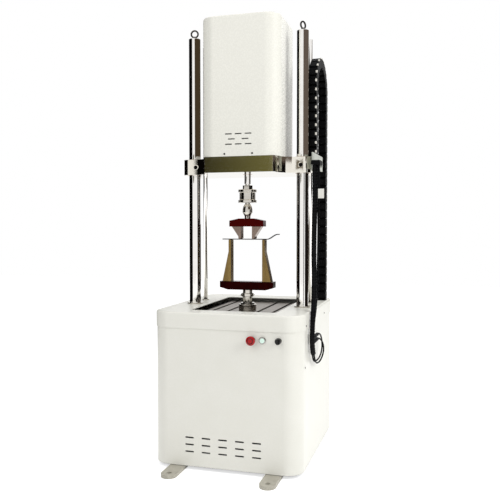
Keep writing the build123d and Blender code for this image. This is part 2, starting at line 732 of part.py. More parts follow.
def hood_cover():
    """Painted sheet hood over the motor, open below."""
    top = HEAD_TOP_Z + HOOD_H
    middle = (MIDDLE_X, HEAD_FRONT_Y + HOOD_D / 2)
    hood = slab(2 * HOOD_HALF, HOOD_D, HEAD_TOP_Z, top, HOOD_R, middle)
    hood = fillet(hood.edges().group_by(Axis.Z)[-1], HOOD_EDGE_R)
    inner_w = 2 * (HOOD_HALF - HOOD_SHEET)
    inner = slab(inner_w, HOOD_D - 2 * HOOD_SHEET, HEAD_TOP_Z, top - HOOD_SHEET,
                 HOOD_R - HOOD_SHEET, middle)
    hood -= fillet(inner.edges().group_by(Axis.Z)[-1], HOOD_EDGE_R - HOOD_SHEET)
    front = HEAD_FRONT_Y + 2 * HOOD_SHEET
    hood -= upright_slots(hood_places(), HOOD_VENT_L, HOOD_VENT_H, front, HEAD_FRONT_Y - HOOD_SHEET)
    return hood


def button_screw(axis_place):
    """A low round screw head with its flat side at the local origin, pointing along +Z."""
    head = extrude(Circle(SCREW_R), SCREW_H)
    return axis_place * chamfer(head.edges().group_by(Axis.Z)[-1], SCREW_H / 3)


def hood_screws():
    """Screws along the hood's lower front edge."""
    z = HEAD_TOP_Z + HOOD_SCREW_Z
    return [button_screw(Pos(x, HEAD_FRONT_Y, z) * Rot(90, 0, 0)) for x in both_sides(HOOD_SCREW_X)]


def motor_housing():
    """Motor body with its mounting flange on the crosshead."""
    bottom = HEAD_TOP_Z
    return turned([(ROD_BUSH_LIP_R + SEAT, bottom), (MOTOR_FLANGE_R, bottom),
                   (MOTOR_FLANGE_R, bottom + MOTOR_FLANGE_T), (MOTOR_R, bottom + MOTOR_FLANGE_T),
                   (MOTOR_R, MOTOR_Z + MOTOR_H), (COIL_R, MOTOR_Z + MOTOR_H), (COIL_R, MOTOR_Z),
                   (ROD_BUSH_LIP_R + SEAT, MOTOR_Z)], MIDDLE_X, AXIS_Y)


def motor_lid():
    """Lid of the motor with the round housing of the travel sensor."""
    top = MOTOR_Z + MOTOR_H
    lid = disc(MOTOR_R, top, top + MOTOR_LID_T, (MIDDLE_X, AXIS_Y))
    lid += disc(ROD_BUSH_LIP_R, top + MOTOR_LID_T, top + 3 * MOTOR_LID_T, (MIDDLE_X, AXIS_Y))
    return lid


def motor_coil():
    """Fixed coil pack in the housing."""
    bottom = MOTOR_Z + (MOTOR_H - COIL_H) / 2
    ring = disc(COIL_R, bottom, bottom + COIL_H, (MIDDLE_X, AXIS_Y))
    return ring - disc(COIL_BORE_R, bottom, bottom + COIL_H, (MIDDLE_X, AXIS_Y))


def rod_bush():
    """Bush that guides the motor rod through the crosshead."""
    lip_top = HEAD_TOP_Z + ROD_BUSH_LIP_H
    return turned([(ROD_SHAFT_R + RUNNING, HEAD_Z), (ROD_BUSH_R, HEAD_Z), (ROD_BUSH_R, HEAD_TOP_Z),
                   (ROD_BUSH_LIP_R, HEAD_TOP_Z), (ROD_BUSH_LIP_R, lip_top),
                   (ROD_SHAFT_R + RUNNING, lip_top)], MIDDLE_X, AXIS_Y)


def motor_rod():
    """Rod with the magnet carrier at its top and a neck above the lock nut."""
    mover_z = MOTOR_Z + SEAM
    mover_r = COIL_BORE_R - MOVER_GAP
    nut_z = ROD_NECK_Z - ROD_NECK_H
    return turned([(0, CELL_TOP_Z), (ROD_NECK_R, CELL_TOP_Z), (ROD_NECK_R, nut_z + ROD_NECK_H),
                   (ROD_SHAFT_R, nut_z + ROD_NECK_H), (ROD_SHAFT_R, mover_z),
                   (mover_r, mover_z), (mover_r, mover_z + MOVER_H), (0, mover_z + MOVER_H)],
                  MIDDLE_X, AXIS_Y)


def rod_lock_nut():
    """Hexagon nut that locks the load cell to the rod."""
    nut = Pos(MIDDLE_X, AXIS_Y, CELL_TOP_Z) * extrude(RegularPolygon(LOCK_NUT_R, 6), LOCK_NUT_H)
    return nut - disc(ROD_NECK_R + RUNNING, CELL_TOP_Z, CELL_TOP_Z + LOCK_NUT_H, (MIDDLE_X, AXIS_Y))


def load_cell():
    """Pancake load cell with two rims, a waist and a short lower stud."""
    bottom = CELL_TOP_Z - CELL_H
    edge = COLUMN_CHAMFER
    return turned([(0, bottom - CELL_STUD_H), (CELL_STUD_R, bottom - CELL_STUD_H),
                   (CELL_STUD_R, bottom), (CELL_R - edge, bottom), (CELL_R, bottom + edge),
                   (CELL_R, bottom + CELL_RIM_H), (CELL_WAIST_R, bottom + CELL_RIM_H + edge),
                   (CELL_WAIST_R, CELL_TOP_Z - CELL_RIM_H - edge),
                   (CELL_R, CELL_TOP_Z - CELL_RIM_H), (CELL_R, CELL_TOP_Z - edge),
                   (CELL_R - edge, CELL_TOP_Z), (0, CELL_TOP_Z)], MIDDLE_X, AXIS_Y)


def alignment_joint():
    """Bulged ball-joint housing that lets the upper fixture align itself."""
    bottom = JOINT_TOP_Z - JOINT_H
    return turned([(0, bottom), (JOINT_STEM_R, bottom), (JOINT_NOSE_R, bottom + JOINT_NOSE_H),
                   (JOINT_BULGE_R, bottom + JOINT_BULGE_Z), (JOINT_BULGE_R, bottom + JOINT_BAND_Z),
                   (JOINT_NECK_R, bottom + JOINT_NECK_Z), (JOINT_TOP_R, JOINT_TOP_Z), (0, JOINT_TOP_Z)],
                  MIDDLE_X, AXIS_Y)


def joint_stem():
    """Short stem between the alignment joint and the upper beam."""
    top = JOINT_TOP_Z - JOINT_H
    return disc(JOINT_STEM_R, top - JOINT_STEM_H, top, (MIDDLE_X, AXIS_Y))


def front_profile(points, depth):
    """A piece with one outline seen from the front, centred on the load axis in depth."""
    placed = [(MIDDLE_X + x, 0, z) for x, z in points]
    outline = make_face(Polyline(*placed, close=True))
    return extrude(outline, depth / 2, dir=(0, 1, 0), both=True).move(Pos(0, AXIS_Y, 0))


def upper_beam():
    """Upper beam, its top sloping down towards both ends."""
    half = UPPER_BEAM_W / 2
    shoulder = half - UPPER_SLOPE_L
    side_z = UPPER_BEAM_TOP_Z - UPPER_SLOPE_H
    return front_profile([(-half, UPPER_BEAM_Z), (half, UPPER_BEAM_Z), (half, side_z),
                          (shoulder, UPPER_BEAM_TOP_Z), (-shoulder, UPPER_BEAM_TOP_Z),
                          (-half, side_z)], FIXTURE_D)


def arm(side, inner, tip_w, root_w, tip_z, bend_z, root_z):
    """A tapered loading arm with a rounded nose, its inner face upright."""
    points = [(side * inner, tip_z), (side * (inner + tip_w), tip_z),
              (side * (inner + tip_w), bend_z), (side * (inner + root_w), root_z),
              (side * inner, root_z)]
    solid = front_profile(points, ARM_D)
    tip_edges = solid.edges().filter_by(Axis.Y).filter_by_position(Axis.Z, tip_z - SEAT, tip_z + SEAT)
    return fillet(tip_edges, TIP_R)


def upper_arm(side):
    """Arm that presses on the strip from above."""
    bend_z = UPPER_BEAM_Z - UPPER_ARM_TAPER
    return arm(side, UPPER_ARM_IN, UPPER_ARM_TIP, UPPER_ARM_ROOT, UPPER_TIP_Z, bend_z, UPPER_BEAM_Z)


def lower_arm(side):
    """Arm that carries the strip from below."""
    bend_z = STRIP_Z - LOWER_ARM_STRAIGHT
    return arm(side, LOWER_ARM_IN, LOWER_ARM_TIP, LOWER_ARM_ROOT, STRIP_Z, bend_z, LOWER_ARM_Z)


def lower_beam():
    """Lower beam, its underside sloping up towards both ends."""
    half = LOWER_BEAM_W / 2
    shoulder = half - LOWER_SLOPE_L
    side_z = LOWER_BEAM_Z + LOWER_SLOPE_H
    return front_profile([(-shoulder, LOWER_BEAM_Z), (shoulder, LOWER_BEAM_Z), (half, side_z),
                          (half, LOWER_ARM_Z), (-half, LOWER_ARM_Z), (-half, side_z)], FIXTURE_D)


def fixture_flange():
    """Round foot that bolts the fixture to the table."""
    edge = COLUMN_CHAMFER
    step_z = FLANGE_TOP_Z - FLANGE_STEP_H
    return turned([(0, TABLE_TOP_Z), (FLANGE_R, TABLE_TOP_Z), (FLANGE_R, step_z - edge),
                   (FLANGE_R - edge, step_z), (FLANGE_STEP_R, step_z),
                   (FLANGE_STEP_R, FLANGE_TOP_Z), (0, FLANGE_TOP_Z)], MIDDLE_X, AXIS_Y)


def fixture_stem():
    """Threaded post of the fixture."""
    return disc(STEM_R, FLANGE_TOP_Z, LOWER_BEAM_Z, (MIDDLE_X, AXIS_Y))


def lock_ring():
    """Ring nut with four tommy pins."""
    bottom = FLANGE_TOP_Z + RING_Z
    ring = disc(RING_R, bottom, bottom + RING_H, (MIDDLE_X, AXIS_Y))
    ring = chamfer(ring.edges().filter_by(GeomType.CIRCLE), COLUMN_CHAMFER)
    length = RING_R - STEM_R + RING_PIN_OUT - COLUMN_CHAMFER
    for turn in range(4):
        place = Pos(MIDDLE_X, AXIS_Y, bottom + RING_H / 2) * Rot(0, 0, 45 + 90 * turn)
        pin = extrude(Circle(RING_PIN_R), length)
        ring += place * Pos(STEM_R + COLUMN_CHAMFER, 0, 0) * Rot(0, 90, 0) * pin
    return ring - disc(STEM_R + RUNNING, bottom, bottom + RING_H, (MIDDLE_X, AXIS_Y))


def test_strip():
    """Thin metal plate on the arms, its right end bent up."""
    z = STRIP_Z + STRIP_T / 2
    corners = [(-STRIP_LEFT, z), (STRIP_RIGHT, z), (STRIP_TIP_X, z + STRIP_RISE)]
    path = FilletPolyline(*[(MIDDLE_X + x, AXIS_Y, height) for x, height in corners],
                          radius=STRIP_BEND_R)
    start = Plane(origin=path @ 0, x_dir=(0, 1, 0), z_dir=path % 0)
    return sweep(start * Rectangle(STRIP_W, STRIP_T), path=path)


def control_bezel(x, bezel_r, bezel_h, bore_r, bore_depth):
    """Front ring, threaded barrel and inner nut of a 22 mm control."""
    inner_y = FRONT_Y + PANEL_SHEET
    bezel = pin_back(bezel_r, FRONT_Y - bezel_h, FRONT_Y, x, CONTROL_Z)
    bezel = chamfer(bezel.edges().group_by(Axis.Y)[0], bezel_h / 4)
    bezel += pin_back(CONTROL_BARREL_R, FRONT_Y, inner_y + CONTROL_BARREL_L, x, CONTROL_Z)
    bezel += pin_back(bezel_r, inner_y, inner_y + BEZEL_H, x, CONTROL_Z)
    return bezel - pin_back(bore_r, FRONT_Y - bezel_h, FRONT_Y - bezel_h + bore_depth, x, CONTROL_Z)


def control_bezels():
    """Rings of the emergency stop, the lit button and the selector."""
    deep = BEZEL_H + CONTROL_BARREL_L
    return [control_bezel(ESTOP_X, ESTOP_BEZEL_R, BEZEL_H, ESTOP_STEM_R + RUNNING, deep),
            control_bezel(LAMP_X, LAMP_BEZEL_R, LAMP_BEZEL_H, LAMP_CAP_R + 2 * RUNNING,
                          LAMP_BEZEL_H + BEZEL_H),
            control_bezel(SELECTOR_X, SELECTOR_BEZEL_R, BEZEL_H, KNOB_SHAFT_R + RUNNING, deep)]


def contact_blocks():
    """Switch blocks on the barrels, inside the cabinet."""
    half = CONTROL_BLOCK_W / 2
    front = FRONT_Y + PANEL_SHEET + CONTROL_BARREL_L
    return [box((x - half, front, CONTROL_Z - half), (x + half, front + CONTROL_BLOCK_L, CONTROL_Z + half))
            for x in (ESTOP_X, LAMP_X, SELECTOR_X)]


def estop_plunger():
    """Plunger of the emergency stop, with a collar under the head."""
    face = FRONT_Y - BEZEL_H
    inner_end = face + BEZEL_H + CONTROL_BARREL_L - ESTOP_TRAVEL - SEAM
    collar_back = face - ESTOP_TRAVEL - SEAM
    plunger = pin_back(ESTOP_STEM_R, collar_back - ESTOP_COLLAR_H - ESTOP_HEAD_H / 2, inner_end,
                       ESTOP_X, CONTROL_Z)
    plunger += pin_back(ESTOP_COLLAR_R, collar_back - ESTOP_COLLAR_H, collar_back, ESTOP_X, CONTROL_Z)
    return plunger


def estop_head():
    """Red mushroom head that turns on the plunger to release it."""
    back = FRONT_Y - BEZEL_H - ESTOP_TRAVEL - SEAM - ESTOP_COLLAR_H - SEAT
    front = back - ESTOP_HEAD_H
    head = pin_back(ESTOP_HEAD_R, front, back - SCREW_H, ESTOP_X, CONTROL_Z)
    head = chamfer(head.edges().group_by(Axis.Y)[0], ESTOP_CROWN_H, ESTOP_CROWN_W)
    head += pin_back(ESTOP_SKIRT_R, back - SCREW_H, back, ESTOP_X, CONTROL_Z)
    bore_front = back - ESTOP_HEAD_H / 2 - SEAM
    return head - pin_back(ESTOP_STEM_R + RUNNING, bore_front, back, ESTOP_X, CONTROL_Z)


def lamp_button():
    """Lit cap that is pressed into its ring."""
    face = FRONT_Y - LAMP_BEZEL_H
    back = face + LAMP_BEZEL_H + BEZEL_H - LAMP_TRAVEL - SEAM
    cap = pin_back(LAMP_CAP_R, face - LAMP_TRAVEL - 1, back, LAMP_X, CONTROL_Z)
    return chamfer(cap.edges().group_by(Axis.Y)[0], 1.5)


def selector_knob():
    """Turning knob with a raised grip across it."""
    back = FRONT_Y - BEZEL_H - SEAT
    front = back - KNOB_H
    knob = pin_back(KNOB_R, front, back, SELECTOR_X, CONTROL_Z)
    knob = chamfer(knob.edges().group_by(Axis.Y)[0], 1.5)
    half = KNOB_GRIP_W / 2
    reach = KNOB_R - 1.5
    knob += box((SELECTOR_X - half, front - KNOB_GRIP_H, CONTROL_Z - reach),
                (SELECTOR_X + half, front, CONTROL_Z + reach))
    shaft_end = FRONT_Y + CONTROL_BARREL_L - SEAM
    return knob + pin_back(KNOB_SHAFT_R, back, shaft_end, SELECTOR_X, CONTROL_Z)


def equipment_shelf():
    """Sheet floor for the electrics, notched round the frame posts."""
    width = BASE_W - 2 * (PANEL_SHEET + SEAT) - 1.5 * TUBE
    depth = BASE_D - 2 * (PANEL_SHEET + SEAT) - 1.5 * TUBE
    bottom = FOOT_T + TUBE
    shelf = slab(width, depth, bottom, bottom + SHELF_T)
    notch = TUBE + 2 * SEAT
    for x in (-1, 1):
        for y in (-1, 1):
            place = (x * (FRAME_W - TUBE) / 2, y * (FRAME_D - TUBE) / 2)
            shelf -= slab(notch, notch, bottom, bottom + SHELF_T, at=place)
    return shelf


def shelf_top():
    """Height of the shelf's upper face."""
    return FOOT_T + TUBE + SHELF_T


def motor_drive():
    """Amplifier of the linear motor, with cooling fins on its left side."""
    z = shelf_top()
    left = DRIVE_X - DRIVE_W / 2
    drive = box((left, -DRIVE_D / 2, z), (left + DRIVE_W, DRIVE_D / 2, z + DRIVE_H))
    pitch = DRIVE_D / DRIVE_FINS
    for index in range(DRIVE_FINS):
        y = -DRIVE_D / 2 + (index + 0.5) * pitch
        drive += box((left - FIN_REACH, y - FIN_T / 2, z), (left, y + FIN_T / 2, z + DRIVE_H))
    return drive


def power_supply():
    """Power supply box beside the drive."""
    z = shelf_top()
    supply = slab(SUPPLY_W, SUPPLY_D, z, z + SUPPLY_H, at=(SUPPLY_X, 0))
    return fillet(supply.edges().filter_by(Axis.Z), 3)


def fan_frame():
    """Square fan frame on the back panel, with the boss that holds the rotor's shaft."""
    back = BACK_Y - PANEL_SHEET - SEAT
    front = back - FAN_D
    half = FAN_W / 2
    frame = box((FAN_X - half, front, FAN_Z - half), (FAN_X + half, back, FAN_Z + half))
    frame = fillet(frame.edges().filter_by(Axis.Y), 6)
    frame -= pin_back(FAN_BORE_R, front, back, FAN_X, FAN_Z)
    spider = pin_back(FAN_HUB_R, front, front + FAN_SPIDER_T, FAN_X, FAN_Z)
    for turn in (0, 120, 240):
        strut = box((0, front, -FAN_SPIDER_T / 2), (FAN_BORE_R + 1, front + FAN_SPIDER_T, FAN_SPIDER_T / 2))
        spider += Pos(FAN_X, 0, FAN_Z) * Rot(0, turn, 0) * strut
    frame += spider
    return frame - pin_back(FAN_SHAFT_R + RUNNING, front, back, FAN_X, FAN_Z)


def fan_rotor():
    """Fan wheel with pitched blades on a short shaft."""
    front = BACK_Y - PANEL_SHEET - SEAT - FAN_D + FAN_SPIDER_T + SEAM
    middle_y = front + FAN_ROTOR_D / 2
    rotor = pin_back(FAN_HUB_R, front, front + FAN_ROTOR_D, FAN_X, FAN_Z)
    reach = FAN_BORE_R - FAN_TIP_GAP - FAN_HUB_R + FAN_BLADE_T
    chord = FAN_ROTOR_D / cos(radians(FAN_BLADE_PITCH)) * 0.8
    for index in range(FAN_BLADES):
        blade = Box(reach, chord, FAN_BLADE_T, align=(Align.MIN, Align.CENTER, Align.CENTER))
        blade = Pos(FAN_HUB_R - FAN_BLADE_T, 0, 0) * Rot(FAN_BLADE_PITCH, 0, 0) * blade
        rotor += Pos(FAN_X, middle_y, FAN_Z) * Rot(0, index * 360 / FAN_BLADES, 0) * blade
    rotor &= pin_back(FAN_BORE_R - FAN_TIP_GAP, front, front + FAN_ROTOR_D, FAN_X, FAN_Z)
    return rotor + pin_back(FAN_SHAFT_R, front - FAN_SPIDER_T, front, FAN_X, FAN_Z)


def mains_gland():
    """Gland in the back for the mains cable."""
    outer = BACK_Y
    gland = pin_back(GLAND_BODY_R, outer - PANEL_SHEET - GLAND_INSIDE, outer, GLAND_X, GLAND_Z)
    nut = Pos(GLAND_X, outer, GLAND_Z) * Rot(-90, 0, 0)
    gland += nut * extrude(RegularPolygon(GLAND_NUT_R, 6), GLAND_NUT_H)
    cap = pin_back(GLAND_BODY_R, outer + GLAND_NUT_H, outer + GLAND_NUT_H + GLAND_CAP_H, GLAND_X, GLAND_Z)
    gland += chamfer(cap.edges().group_by(Axis.Y)[-1], 2)
    length_end = outer + GLAND_NUT_H + GLAND_CAP_H
    return gland - pin_back(GLAND_BORE_R, outer - PANEL_SHEET - GLAND_INSIDE, length_end, GLAND_X, GLAND_Z)


def cover_screws():
    """Screws in the cover's skirt and in the side panels."""
    screws = []
    for side in (-1, 1):
        turn = Rot(0, side * 90, 0)
        for y in COVER_SCREW_YS:
            screws.append(button_screw(Pos(side * (SIDE_X + COVER_PROUD), y, COVER_SCREW_Z) * turn))
        screws.append(button_screw(Pos(side * SIDE_X, COVER_SCREW_YS[0], PANEL_SCREW_Z) * turn))
    return screws


def chain_link(angle, height, bent):
    """One link, its middle at the given angle round the bend or height beside it."""
    half = CHAIN_PITCH / 2 - CHAIN_GAP / 2
    inner_half = half
    outer_half = half
    if bent:
        slope = tan(pi / CHAIN_BEND_LINKS / 2)
        inner_half = (CHAIN_BEND_R - CHAIN_H / 2) * slope - CHAIN_GAP
        outer_half = (CHAIN_BEND_R + CHAIN_H / 2) * slope - CHAIN_GAP
    h = CHAIN_H / 2
    taper = (outer_half - inner_half) * CHAIN_NOTCH / CHAIN_H
    points = [(h, outer_half - CHAIN_NOTCH), (h - CHAIN_NOTCH, outer_half - taper),
              (-h + CHAIN_NOTCH, inner_half + taper), (-h, inner_half - CHAIN_NOTCH)]
    points += [(x, -y) for x, y in reversed(points)]
    link = extrude(make_face(Polyline(*points, close=True)), CHAIN_W)
    channel = Box(CHAIN_H - 2 * CHAIN_WALL, 2 * CHAIN_PITCH, CHAIN_W - 2 * CHAIN_WALL)
    link -= Pos(0, 0, CHAIN_W / 2) * channel
    out = Vector(0, cos(angle), sin(angle))
    reach = CHAIN_BEND_R
    if bent:
        reach = CHAIN_BEND_R * cos(pi / CHAIN_BEND_LINKS / 2)
    origin = Vector(CHAIN_X, CHAIN_AXIS_Y, height) + out * reach
    return Plane(origin=origin, x_dir=out, z_dir=(1, 0, 0)).location * link


def chain_bend():
    """Links round the upper bend."""
    step = pi / CHAIN_BEND_LINKS
    return [chain_link((index + 0.5) * step, CHAIN_BEND_Z, True) for index in range(CHAIN_BEND_LINKS)]


def chain_run(angle, bottom, count):
    """Straight run of links, upwards from its lower end."""
    return [chain_link(angle, bottom + (index + 0.5) * CHAIN_PITCH, False) for index in range(count)]


def chain_foot():
    """Plate on the cover that the fixed run stands on."""
    place = (CHAIN_X + CHAIN_W / 2, CHAIN_AXIS_Y + CHAIN_BEND_R)
    return slab(CHAIN_W, CHAIN_H, COVER_TOP_Z, FIXED_RUN_Z - CHAIN_GAP, at=place)


def chain_mount():
    """Plate on the crosshead's right ear that carries the moving run."""
    place = (CHAIN_X + CHAIN_W / 2, CHAIN_AXIS_Y - CHAIN_BEND_R)
    return slab(CHAIN_W, CHAIN_H, HEAD_TOP_Z, MOVING_RUN_Z - CHAIN_GAP, at=place)


def cable_bracket():
    """Plate beside the crosshead, held off by its pad."""
    ear_x = MIDDLE_X + EAR_OUT_X
    inner = ear_x + BRACKET_OFF
    plate = box((inner, BRACKET_FRONT_Y, BRACKET_Z), (inner + BRACKET_T, BRACKET_BACK_Y, BRACKET_Z + BRACKET_H))
    plate = fillet(plate.edges().filter_by(Axis.X), 4)
    plate += box((ear_x, BRACKET_PAD_FRONT_Y, BRACKET_Z),
                 (inner, BRACKET_PAD_BACK_Y, BRACKET_Z + BRACKET_PAD_H))
    return plate


def bracket_bolts():
    """Two socket bolts through the bracket into the ear."""
    face = MIDDLE_X + EAR_OUT_X + BRACKET_OFF + BRACKET_T
    z = BRACKET_Z + BRACKET_PAD_H / 2
    bolts = []
    for y in (BRACKET_PAD_FRONT_Y + 3 * BRACKET_BOLT_R, BRACKET_PAD_BACK_Y - 3 * BRACKET_BOLT_R):
        bolts.append(pin_side(BRACKET_BOLT_R, face, face + BRACKET_BOLT_H, y, z))
    return bolts


def cable_clamp():
    """Block on the bracket that grips the cable bundle."""
    face = MIDDLE_X + EAR_OUT_X + BRACKET_OFF + BRACKET_T
    x, y, z = BUNDLE_ROUTE[0]
    low_z = z - CLAMP_BODY_H / 2
    block = box((face, y - CLAMP_FRONT, low_z),
                (face + CLAMP_BODY_D, BRACKET_FRONT_Y + CLAMP_LAP, low_z + CLAMP_BODY_H))
    block = fillet(block.edges().filter_by(Axis.Z), 5)
    bore = Plane(origin=Vector(x, y, z), z_dir=Vector(*BUNDLE_ROUTE[1]) - Vector(x, y, z))
    return block - bore.location * extrude(Circle(BUNDLE_D / 2), CLAMP_BODY_H)


def cable_tag():
    """Pale plate on a strap that hangs below the clamp, beside the bundle."""
    tag = box((TAG_X, TAG_Y, TAG_Z), (TAG_X + TAG_W, TAG_Y + TAG_T, TAG_Z + TAG_H))
    low_z = BUNDLE_ROUTE[0][2] - CLAMP_BODY_H / 2
    return tag + box((TAG_X, TAG_Y, TAG_Z + TAG_H), (TAG_X + TAG_STRAP_W, TAG_Y + TAG_T, low_z))


def cord_tube(points, diameter, name):
    """A round cable along straight runs that are joined by tangent arcs."""
    radii = []
    for before, here, after in zip(points, points[1:], points[2:]):
        run_in = Vector(*here) - Vector(*before)
        run_out = Vector(*after) - Vector(*here)
        half_turn = radians(run_in.get_angle(run_out)) / 2
        radii.append(CORD_ARC_SHARE * min(run_in.length, run_out.length) / tan(half_turn))
    path = FilletPolyline(*points, radius=radii)
    section = Plane(origin=path @ 0, z_dir=path % 0) * Circle(diameter / 2)
    tube = sweep(section, path=path)
    expected = pi * diameter ** 2 / 4 * path.length
    print(f"{name}: length {path.length:.1f}, volume over expected {tube.volume / expected:.4f}, "
          f"radii {', '.join(f'{r:.0f}' for r in radii)}")
    return tube


def side_plugs():
    """Two elbow plugs on the cabinet's right side, their cables leaving to the back."""
    plugs = []
    for z in (PLUG_UPPER_Z, PLUG_LOWER_Z):
        plug = pin_side(PLUG_R, SIDE_X + SOCKET_H, PLUG_X, PLUG_Y, z)
        plug += Pos(PLUG_X, PLUG_Y, z) * Sphere(PLUG_R)
        plug += pin_back(PLUG_R, PLUG_Y, PLUG_END_Y, PLUG_X, z)
        plugs.append(plug)
    return plugs


def side_sockets():
    """Sockets of the two plugs."""
    return [pin_side(SOCKET_R, SIDE_X, SIDE_X + SOCKET_H, PLUG_Y, z) for z in (PLUG_UPPER_Z, PLUG_LOWER_Z)]


shell = wrapped_shell()
column_left_x, column_right_x = both_sides(COLUMN_HALF)
nodes = {
    "base_frame": base_frame(),
    "floor_feet": floor_feet(),
    "front_panel": front_panel(shell),
    "rear_panel": rear_panel(shell),
    "side_panel_left": side_panel(shell, -1),
    "side_panel_right": side_panel(shell, 1),
    "top_cover": top_cover(),
    "cover_screws": cover_screws(),
    "base_plate": base_plate(),
    "t_slot_table": t_slot_table(),
    "table_seal": table_seal(),
    "column_left": column(column_left_x),
    "column_right": column(column_right_x),
    "column_nuts": column_nuts(),
    "column_collars": column_collars(),
    "lifting_rods": lifting_rods(),
    "eye_bolts": eye_bolts(),
    "crosshead_plate": crosshead_plate(),
    "column_bushes": column_bushes(),
    "hood_cover": hood_cover(),
    "crosshead_screws": clamp_screws() + hood_screws(),
    "motor_housing": motor_housing(),
    "motor_lid": motor_lid(),
    "motor_coil": motor_coil(),
    "rod_bush": rod_bush(),
    "motor_rod": motor_rod(),
    "rod_lock_nut": rod_lock_nut(),
    "load_cell": load_cell(),
    "alignment_joint": [alignment_joint(), joint_stem()],
    "upper_beam": upper_beam(),
    "upper_arms": [upper_arm(-1), upper_arm(1)],
    "test_strip": test_strip(),
    "lower_arms": [lower_arm(-1), lower_arm(1)],
    "lower_beam": lower_beam(),
    "fixture_stem": fixture_stem(),
    "lock_ring": lock_ring(),
    "fixture_flange": fixture_flange(),
    "control_bezels": control_bezels(),
    "contact_blocks": contact_blocks(),
    "estop_plunger": estop_plunger(),
    "estop_head": estop_head(),
    "lamp_button": lamp_button(),
    "selector_knob": selector_knob(),
    "equipment_shelf": equipment_shelf(),
    "motor_drive": motor_drive(),
    "power_supply": power_supply(),
    "fan_frame": fan_frame(),
    "fan_rotor": fan_rotor(),
    "mains_gland": mains_gland(),
    "chain_fixed_run": chain_run(0.0, FIXED_RUN_Z, FIXED_LINKS) + [chain_foot()],
    "chain_bend": chain_bend(),
    "chain_moving_run": chain_run(pi, MOVING_RUN_Z, MOVING_LINKS),
    "cable_bracket": cable_bracket(),
    "bracket_bolts": bracket_bolts(),
    "chain_mount": chain_mount(),
    "cable_clamp": cable_clamp(),
    "cable_tag": cable_tag(),
    "cable_bundle": cord_tube(BUNDLE_ROUTE, BUNDLE_D, "cable_bundle"),
    "side_cables": [cord_tube(UPPER_LEAD_ROUTE, LEAD_D, "upper lead"),
                    cord_tube(LOWER_LEAD_ROUTE, LEAD_D, "lower lead")],
    "side_plugs": side_plugs() + side_sockets(),
}

os.makedirs("parts", exist_ok=True)
for name, shape in nodes.items():
    solids = shape if isinstance(shape, list) else [shape]
    export_step(Compound(label=name, children=solids), f"parts/{name}.step")
print(len(nodes), "nodes")
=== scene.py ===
"""Finishes, cords and small parts of a bending fatigue machine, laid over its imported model."""

import json
import math

import bmesh
import bpy
from mathutils import Matrix, Vector


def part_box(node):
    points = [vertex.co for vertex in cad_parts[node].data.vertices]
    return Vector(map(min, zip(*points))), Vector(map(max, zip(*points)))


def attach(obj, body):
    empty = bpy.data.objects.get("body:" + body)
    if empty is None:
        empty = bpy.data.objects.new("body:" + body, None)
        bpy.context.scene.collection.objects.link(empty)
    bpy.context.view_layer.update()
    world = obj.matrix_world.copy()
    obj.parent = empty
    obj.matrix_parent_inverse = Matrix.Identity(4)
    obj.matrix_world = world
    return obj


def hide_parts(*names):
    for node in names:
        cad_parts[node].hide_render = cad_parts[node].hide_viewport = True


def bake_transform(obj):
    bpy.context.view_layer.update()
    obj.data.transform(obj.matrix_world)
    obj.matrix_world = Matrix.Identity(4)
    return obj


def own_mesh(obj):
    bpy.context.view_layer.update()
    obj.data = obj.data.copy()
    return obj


bl_info = {
    "name": "Bending Fatigue Machine",
    "version": (1, 0, 0),
    "blender": (4, 5, 0),
    "location": "View3D > Sidebar > Fatigue Machine",
    "description": "Dresses the packed machine with its finishes, cables, chain and controls",
    "category": "Object",
}

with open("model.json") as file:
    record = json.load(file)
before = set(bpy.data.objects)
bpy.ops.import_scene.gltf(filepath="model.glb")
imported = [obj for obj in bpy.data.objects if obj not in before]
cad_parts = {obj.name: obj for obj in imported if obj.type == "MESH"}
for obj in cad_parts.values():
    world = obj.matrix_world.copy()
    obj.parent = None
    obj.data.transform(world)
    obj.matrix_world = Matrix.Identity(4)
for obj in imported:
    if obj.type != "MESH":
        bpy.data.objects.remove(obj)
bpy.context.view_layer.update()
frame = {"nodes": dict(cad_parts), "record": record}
NODES = frame["nodes"]

# The cables' routes, in metres: the wrapped bundle, its loose strand and the two side leads
BUNDLE_ROUTE = (
    (0.350, -0.178, 1.345),
    (0.350, -0.1795, 1.285),
    (0.352, -0.184, 1.225),
    (0.354, -0.192, 1.168),
    (0.354, -0.200, 1.110),
    (0.353, -0.206, 1.050),
    (0.353, -0.209, 0.990),
    (0.352, -0.206, 0.930),
    (0.353, -0.203, 0.870),
    (0.354, -0.204, 0.810),
    (0.354, -0.209, 0.750),
    (0.353, -0.220, 0.692),
    (0.353, -0.237, 0.636),
    (0.353, -0.246, 0.582),
    (0.353, -0.240, 0.540),
    (0.353, -0.221, 0.508),
)
STRAND_ROUTE = (
    (0.362, -0.163, 1.350),
    (0.363, -0.165, 1.200),
    (0.365, -0.170, 1.050),
    (0.364, -0.176, 0.900),
    (0.363, -0.180, 0.780),
    (0.360, -0.196, 0.700),
    (0.356, -0.222, 0.640),
    (0.353, -0.243, 0.600),
)
UPPER_LEAD_ROUTE = (
    (0.352, -0.117, 0.577),
    (0.352, -0.092, 0.577),
    (0.353, -0.064, 0.572),
    (0.355, -0.040, 0.558),
    (0.357, -0.024, 0.534),
    (0.358, -0.022, 0.506),
    (0.357, -0.038, 0.481),
    (0.355, -0.066, 0.466),
    (0.353, -0.100, 0.460),
    (0.351, -0.136, 0.460),
    (0.350, -0.170, 0.463),
    (0.3493, -0.2026, 0.477),
    (0.3493, -0.22085, 0.50774),
)
